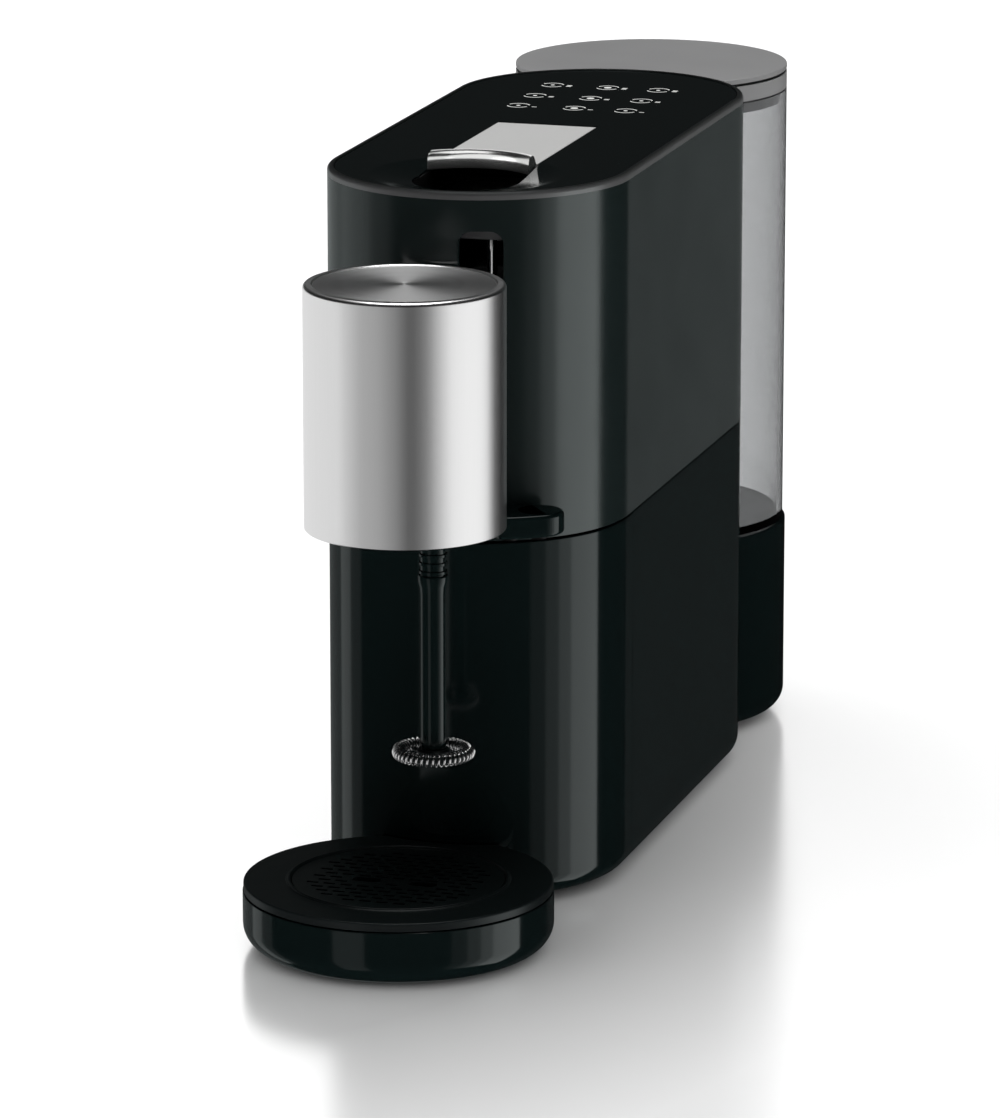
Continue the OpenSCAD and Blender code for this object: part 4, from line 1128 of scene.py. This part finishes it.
@dataclass
class Tank(SubAssembly):
    """Clear water tank, its lid and the glossy foot under it."""

    wall: float = 2.2
    body_gap: float = 1.0
    floor: float = 3.0
    foot_round: float = 8.0

    def __post_init__(self) -> None:
        """Reads the tank's axis and the body's rear arc from the frame."""
        lo, hi = self.shop.span("water_tank")
        self.r = (hi.x - lo.x) / 2
        self.y = hi.y - self.r
        shell = self.shop.span("upper_shell")[1]
        self.body_r, self.body_y = shell.x, shell.y - shell.x

    def crescent(self, name: str, r: float, gap: float, z0: float, z1: float) -> Piece:
        """Builds a round plate hollowed by the body's rear."""
        piece = self.shop.drum(name, r, z0, z1, 0, self.y)
        self.shop.bore(piece, self.body_r + gap, z0 - 1, z1 + 1, 0, self.body_y)
        return piece

    def build(self) -> None:
        """Builds the tank, the lid's pieces and the foot."""
        self.tank()
        self.lid()
        self.foot()

    def tank(self) -> None:
        """Clear wall with its valve hole."""
        lo, hi = self.shop.span("water_tank")
        piece = self.crescent("tank_wall", self.r, self.body_gap, lo.z, hi.z)
        inner = self.crescent("tank_room", self.r - self.wall, self.body_gap + self.wall, lo.z + self.floor,
                              hi.z + 2)
        self.shop.combine(piece, inner)
        vlo, vhi = self.shop.span("valve_seat")
        vy = (vlo.y + vhi.y) / 2
        self.shop.bore(piece, 8.0, lo.z - 1, lo.z + self.floor + 1, 0, vy, 64)
        self.shop.hand_over(piece, "tank", self.paint.tank_clear, "water_tank", edge=(0.25, 2, 35))

    def lid(self) -> None:
        """Top plate, dark seal line and collar."""
        lo, hi = self.shop.span("tank_lid")
        plate = self.crescent("lid_plate", self.r, self.body_gap, lo.z, hi.z)
        self.shop.hand_over(plate, "lid", self.paint.tank_lid_grey, "tank_lid", edge=(0.6, 3, 35))
        lo, hi = self.shop.span("lid_collar")
        low = lo.z + 5
        band = self.crescent("lid_band", self.r, self.body_gap, low, hi.z)
        self.shop.combine(band, self.crescent("band_room", self.r - 4.2, self.body_gap + 4.2, low - 1,
                                              hi.z - 1.6))
        skirt = self.crescent("lid_skirt", self.r - 2.5, self.body_gap + 2.5, lo.z, low + 1)
        self.shop.combine(skirt, self.crescent("skirt_room", self.r - 4.2, self.body_gap + 4.2, lo.z - 1,
                                               low + 2))
        piece = self.shop.join([band, skirt])
        piece.name = "lid_band"
        self.shop.hand_over(piece, "lid", self.paint.tank_lid_grey, "lid_collar", edge=(0.3, 2, 35))

    def foot(self) -> None:
        """Glossy foot with a rounded lower edge, a valve hole and the power inlet's hole."""
        lo, hi = self.shop.span("tank_dock")
        r, rd, t = (hi.x - lo.x) / 2, self.foot_round, 2.5
        z0, z1 = lo.z, hi.z
        profile = [(r - rd - 1.5, z0), *arc(r - rd, z0 + rd, rd, -90, 0, 10), (r, z1 - 0.6),
                   *arc(r - 0.6, z1 - 0.6, 0.6, 0, 90, 4), (0, z1), (0, z1 - t), (r - t, z1 - t),
                   *arc(r - rd, z0 + rd, rd - t, 0, -90, 8), (r - rd - 1.5, z0 + t), (r - rd - 1.5, z0)]
        piece = self.shop.turned("dock_shell", profile, 0, self.y)
        self.shop.bore(piece, self.body_r + 0.4, z0 - 2, z1 + 2, 0, self.body_y)
        wall = self.crescent("dock_front", r - t + 0.1, 0.4, z0, z1 - t + 0.1)
        self.shop.combine(wall, self.crescent("front_room", r, 0.4 + t, z0 - 1, z1))
        vlo, vhi = self.shop.span("valve_seat")
        self.shop.bore(piece, 12.5, z1 - t - 1, z1 + 1, 0, (vlo.y + vhi.y) / 2, 64)
        ilo, ihi = self.shop.span("power_inlet")
        ix, iz = (ilo.x + ihi.x) / 2, (ilo.z + ihi.z) / 2
        self.shop.combine(piece, self.shop.bar("inlet_cut", (ix, self.y, iz), (ix, self.y + r + 4, iz), 6, 64))
        self.shop.hand_over(piece, "housing", self.paint.gloss_black, "tank_dock", edge=(0.2, 2, 30))
        self.shop.hand_over(wall, "housing", self.paint.gloss_black, edge=(0.2, 2, 30))


# ---------------------------------------------------------------- studio
@dataclass
class Studio:
    """Camera, pale floor and soft light."""

    camera_at: tuple[float, float, float] = (0.7057, -2.4162, 0.7303)
    pitch: float = -13.930
    heading: float = 16.558
    lens: float = 212.8
    floor_half: float = 7.0
    sheen_oval: tuple[Point, Point] = ((-0.06, 0.24), (-0.12, 0.40))
    card_distance: float = 2.0
    cool: tuple[float, float, float] = (0.93, 1.0, 0.99)
    dim: tuple[float, float, float, float] = (0.007, 0.0072, 0.0074, 1.0)
    lights: dict[str, list[Piece]] = field(
        default_factory=lambda: {kind: [] for kind in ("gloss", "shell", "metal", "lever", "clear", "floor")})

    def build(self) -> None:
        """Builds the camera, the floor, the lights and the surroundings."""
        self.camera()
        floor = self.floor()
        self.softboxes()
        self.floor_cards()
        self.link_lights(floor)
        self.surroundings()

    def camera(self) -> None:
        """Adds the camera."""
        data = bpy.data.cameras.new("camera")
        data.lens, data.sensor_width = self.lens, 36.0
        data.clip_start, data.clip_end = 0.05, 60.0
        camera = bpy.data.objects.new("camera", data)
        bpy.context.collection.objects.link(camera)
        camera.location = self.camera_at
        camera.rotation_euler = (math.radians(90 + self.pitch), 0, math.radians(self.heading))
        bpy.context.scene.camera = camera

    def floor(self) -> Piece:
        """Adds the pale floor with a soft sheen."""
        bpy.ops.object.select_all(action="DESELECT")
        bpy.ops.mesh.primitive_plane_add(size=2 * self.floor_half, location=(0, 0, 0))
        floor = bpy.context.object
        floor.name = "studio_floor"
        floor.visible_glossy = False
        material = bpy.data.materials.new("floor_white")
        material.use_nodes = True
        tree = material.node_tree
        shader = tree.nodes["Principled BSDF"]
        place = tree.nodes.new("ShaderNodeTexCoord").outputs["Object"]
        skin = place_group(tree, moulded_skin(), place, Colour=(0.93, 0.93, 0.93, 1.0), Drift=0.004,
                           Roughness=0.2, Spread=0.01, Grain=6.0)
        tree.links.new(skin.outputs["Colour"], shader.inputs["Base Color"])
        tree.links.new(skin.outputs["Roughness"], shader.inputs["Roughness"])
        apart = tree.nodes.new("ShaderNodeSeparateXYZ")
        tree.links.new(place, apart.inputs[0])
        squares = []
        for way, (middle, reach) in zip(apart.outputs, self.sheen_oval):
            off = maths(tree, "DIVIDE", maths(tree, "SUBTRACT", way, middle), reach)
            squares.append(maths(tree, "POWER", off, 2.0))
        fade = tree.nodes.new("ShaderNodeMapRange")
        tree.links.new(maths(tree, "SQRT", maths(tree, "ADD", *squares)), fade.inputs["Value"])
        fill(fade, {"From Min": 0.5, "From Max": 1.0, "To Min": 0.50, "To Max": 0.12})
        tree.links.new(fade.outputs["Result"], shader.inputs["Metallic"])
        floor.data.materials.append(material)
        return floor

    def panel(self, name: str, wide: float, high: float, radiance: float) -> Piece:
        """Adds a lit rectangle, unseen by the camera, that faces down until it is turned."""
        data = bpy.data.lights.new(name, "AREA")
        data.shape, data.size, data.size_y = "RECTANGLE", wide, high
        data.energy = radiance * math.pi * wide * high
        light = bpy.data.objects.new(name, data)
        bpy.context.collection.objects.link(light)
        light.visible_camera = False
        return light

    def card(self, name: str, azimuths: tuple[float, float], distance: float, heights: tuple[float, float],
             radiance: float) -> Piece:
        """Adds an upright softbox that covers a range of azimuths.

        Args:
            name: The light's name.
            azimuths: Its two edges in degrees from the front towards +X.
            distance: Distance from the object's middle in metres.
            heights: Its lower and upper edge in metres.
            radiance: How bright it looks.

        Returns:
            The light.
        """
        middle = math.radians(sum(azimuths) / 2)
        half = math.radians(azimuths[1] - azimuths[0]) / 2
        light = self.panel(name, 2 * distance * math.tan(half), heights[1] - heights[0], radiance)
        light.location = (distance * math.sin(middle), -distance * math.cos(middle), sum(heights) / 2)
        inwards = Vector((-math.sin(middle), math.cos(middle), 0))
        light.rotation_euler = inwards.to_track_quat("-Z", "Y").to_euler()
        return light

    def softboxes(self) -> None:
        """Adds the upright softboxes and the overhead ones, each set for its own group of pieces."""
        tall, low = (-2.2, 0.35), (-2.2, 0.2)
        sets: dict[str, tuple[tuple[float, float, float], ...]] = {
            "gloss": ((-165, -114, 0.10), (-114, -98, 0.42), (-98, -84, 0.12), (-29, -7, 0.27), (52, 64, 0.12),
                      (64, 75, 0.36), (75, 86, 0.75), (86, 113, 1.30)),
            "shell": ((-165, -108, 0.34), (-108, -72, 0.56), (-72, -52, 0.24), (48, 60, 0.20), (60, 73, 0.75),
                      (73, 114, 1.95)),
            "metal": ((-165, -58, 1.05), (-58, -36, 0.82), (-36, -6, 0.58), (-6, 12, 0.40), (12, 30, 0.10),
                      (30, 46, 0.26), (46, 62, 0.80), (62, 126, 1.32)),
            "clear": ((-165, -60, 0.25), (60, 100, 0.12)),
        }
        extras = (
            ("gloss", "back", (150, 243), (0.25, 1.6), 0.010), ("gloss", "side", (158, 180), low, 0.021),
            ("shell", "side", (160, 182), low, 0.135), ("lever", "back", (120, 205), (0.25, 1.9), 0.95),
            ("lever", "left", (-160, -30), (0.1, 1.6), 0.8), ("lever", "front", (-75, 45), (-1.6, 3.2), 1.0),
            ("lever", "right", (40, 120), (0.1, 1.6), 0.9),
        )
        every = [(kind, k, card[:2], tall, card[2])
                 for kind, cards in sets.items() for k, card in enumerate(cards)]
        for kind, label, azimuths, heights, radiance in (*every, *extras):
            self.lights[kind].append(
                self.card(f"{kind}_card_{label}", azimuths, self.card_distance, heights, radiance))
        for kind, radiance in (("gloss", 1.5), ("shell", 0.7), ("metal", 6.0), ("lever", 1.2), ("clear", 4.6)):
            self.lights[kind].append(self.overhead(f"{kind}_top", 1.4, 2.2, radiance))
        for lamp in self.lights["gloss"] + self.lights["shell"]:
            lamp.data.color = self.cool

    def overhead(self, name: str, side: float, height: float, radiance: float) -> Piece:
        """Adds a square softbox over the middle, facing down."""
        light = self.panel(name, side, side, radiance)
        light.location = (0.0, 0.0, height)
        return light

    def floor_cards(self) -> None:
        """Adds the white cards that only the floor sees, so that it stays evenly white."""
        for k in range(4):
            azimuth = 45 + 90 * k
            self.lights["floor"].append(self.card(f"floor_card_{k}", (azimuth - 44.9, azimuth + 44.9), 7.5,
                                                  (0.0, 6.0), 1.25))
        self.lights["floor"].append(self.overhead("floor_card_top", 15.0, 6.0, 1.25))

    def link_lights(self, floor: Piece) -> None:
        """Lets each set of softboxes light its own group of pieces only.

        Args:
            floor: The studio floor, which has its own cards.
        """
        groups: dict[str, list[Piece]] = {kind: [] for kind in self.lights}
        groups["floor"].append(floor)
        for piece in bpy.context.scene.objects:
            if piece.type == "MESH" and piece is not floor:
                groups[self.light_group(piece)].append(piece)
        for kind, lights in self.lights.items():
            receivers = bpy.data.collections.new(f"lit_by_{kind}")
            for piece in groups[kind]:
                receivers.objects.link(piece)
            for light in lights:
                light.light_linking.receiver_collection = receivers

    def light_group(self, piece: Piece) -> str:
        """Returns the set of softboxes that lights a piece."""
        if piece.name.startswith("lever_"):
            return "lever"
        slot = piece.get("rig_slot", "")
        if "rod" in piece.name:
            return "gloss"
        if slot in ("tank_clear", "tank_lid_grey") or piece.name.startswith("dock_"):
            return "clear"
        if slot in ("brushed_alu", "steel", "silver_trim"):
            return "metal"
        return "shell" if slot in ("satin_shell", "rim_satin") else "gloss"

    def surroundings(self) -> None:
        """Makes a world that is white to look at and dim as a light."""
        world = bpy.data.worlds.new("studio_world")
        bpy.context.scene.world = world
        world.use_nodes = True
        tree = world.node_tree
        background = tree.nodes["Background"]
        path = tree.nodes.new("ShaderNodeLightPath")
        seen = maths(tree, "MAXIMUM", path.outputs["Is Camera Ray"], path.outputs["Is Transmission Ray"])
        mix = tree.nodes.new("ShaderNodeMix")
        mix.data_type = "RGBA"
        tree.links.new(seen, mix.inputs["Factor"])
        for socket in mix.inputs:
            if socket.type == "RGBA":
                socket.default_value = self.dim if socket.name == "A" else (1.0, 1.0, 1.0, 1.0)
        result = next(s for s in mix.outputs if s.type == "RGBA")
        tree.links.new(result, background.inputs["Color"])
        bpy.context.scene.view_settings.view_transform = "Standard"


# ---------------------------------------------------------------- the whole machine
def dress_frame(frame: dict, paint: Palette) -> None:
    """Gives every carried-over CAD node the finish of its record slot."""
    for part in frame["record"]["subparts"]:
        node = frame["nodes"].get(part["node"])
        if node is None or node.hide_render:
            continue
        node.data.materials.clear()
        node.data.materials.append(paint.by_slot(part["material_slot"]).material())
        LOG.info("%s dressed in %s", part["node"], part["material_slot"])


def main() -> None:
    """Builds the machine's looks round the frame and sets up the studio."""
    logging.basicConfig(level=logging.INFO, format="%(name)s: %(message)s")
    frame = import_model()
    shop = Workshop.from_frame()
    lo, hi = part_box("head_shell")
    radius = (hi.x - lo.x) / 2
    paint = Palette(head_axis=((lo.x + hi.x) / 2, lo.y + radius))
    for kind in (Housing, TouchField, Lever, Outlet, FrotherHead, Whisk, DripTray, Tank):
        kind(shop, paint).build()
    dress_frame(frame, paint)
    Studio().build()
    LOG.info("%d pieces built", shop.made)


if __name__ == "__main__":
    main()
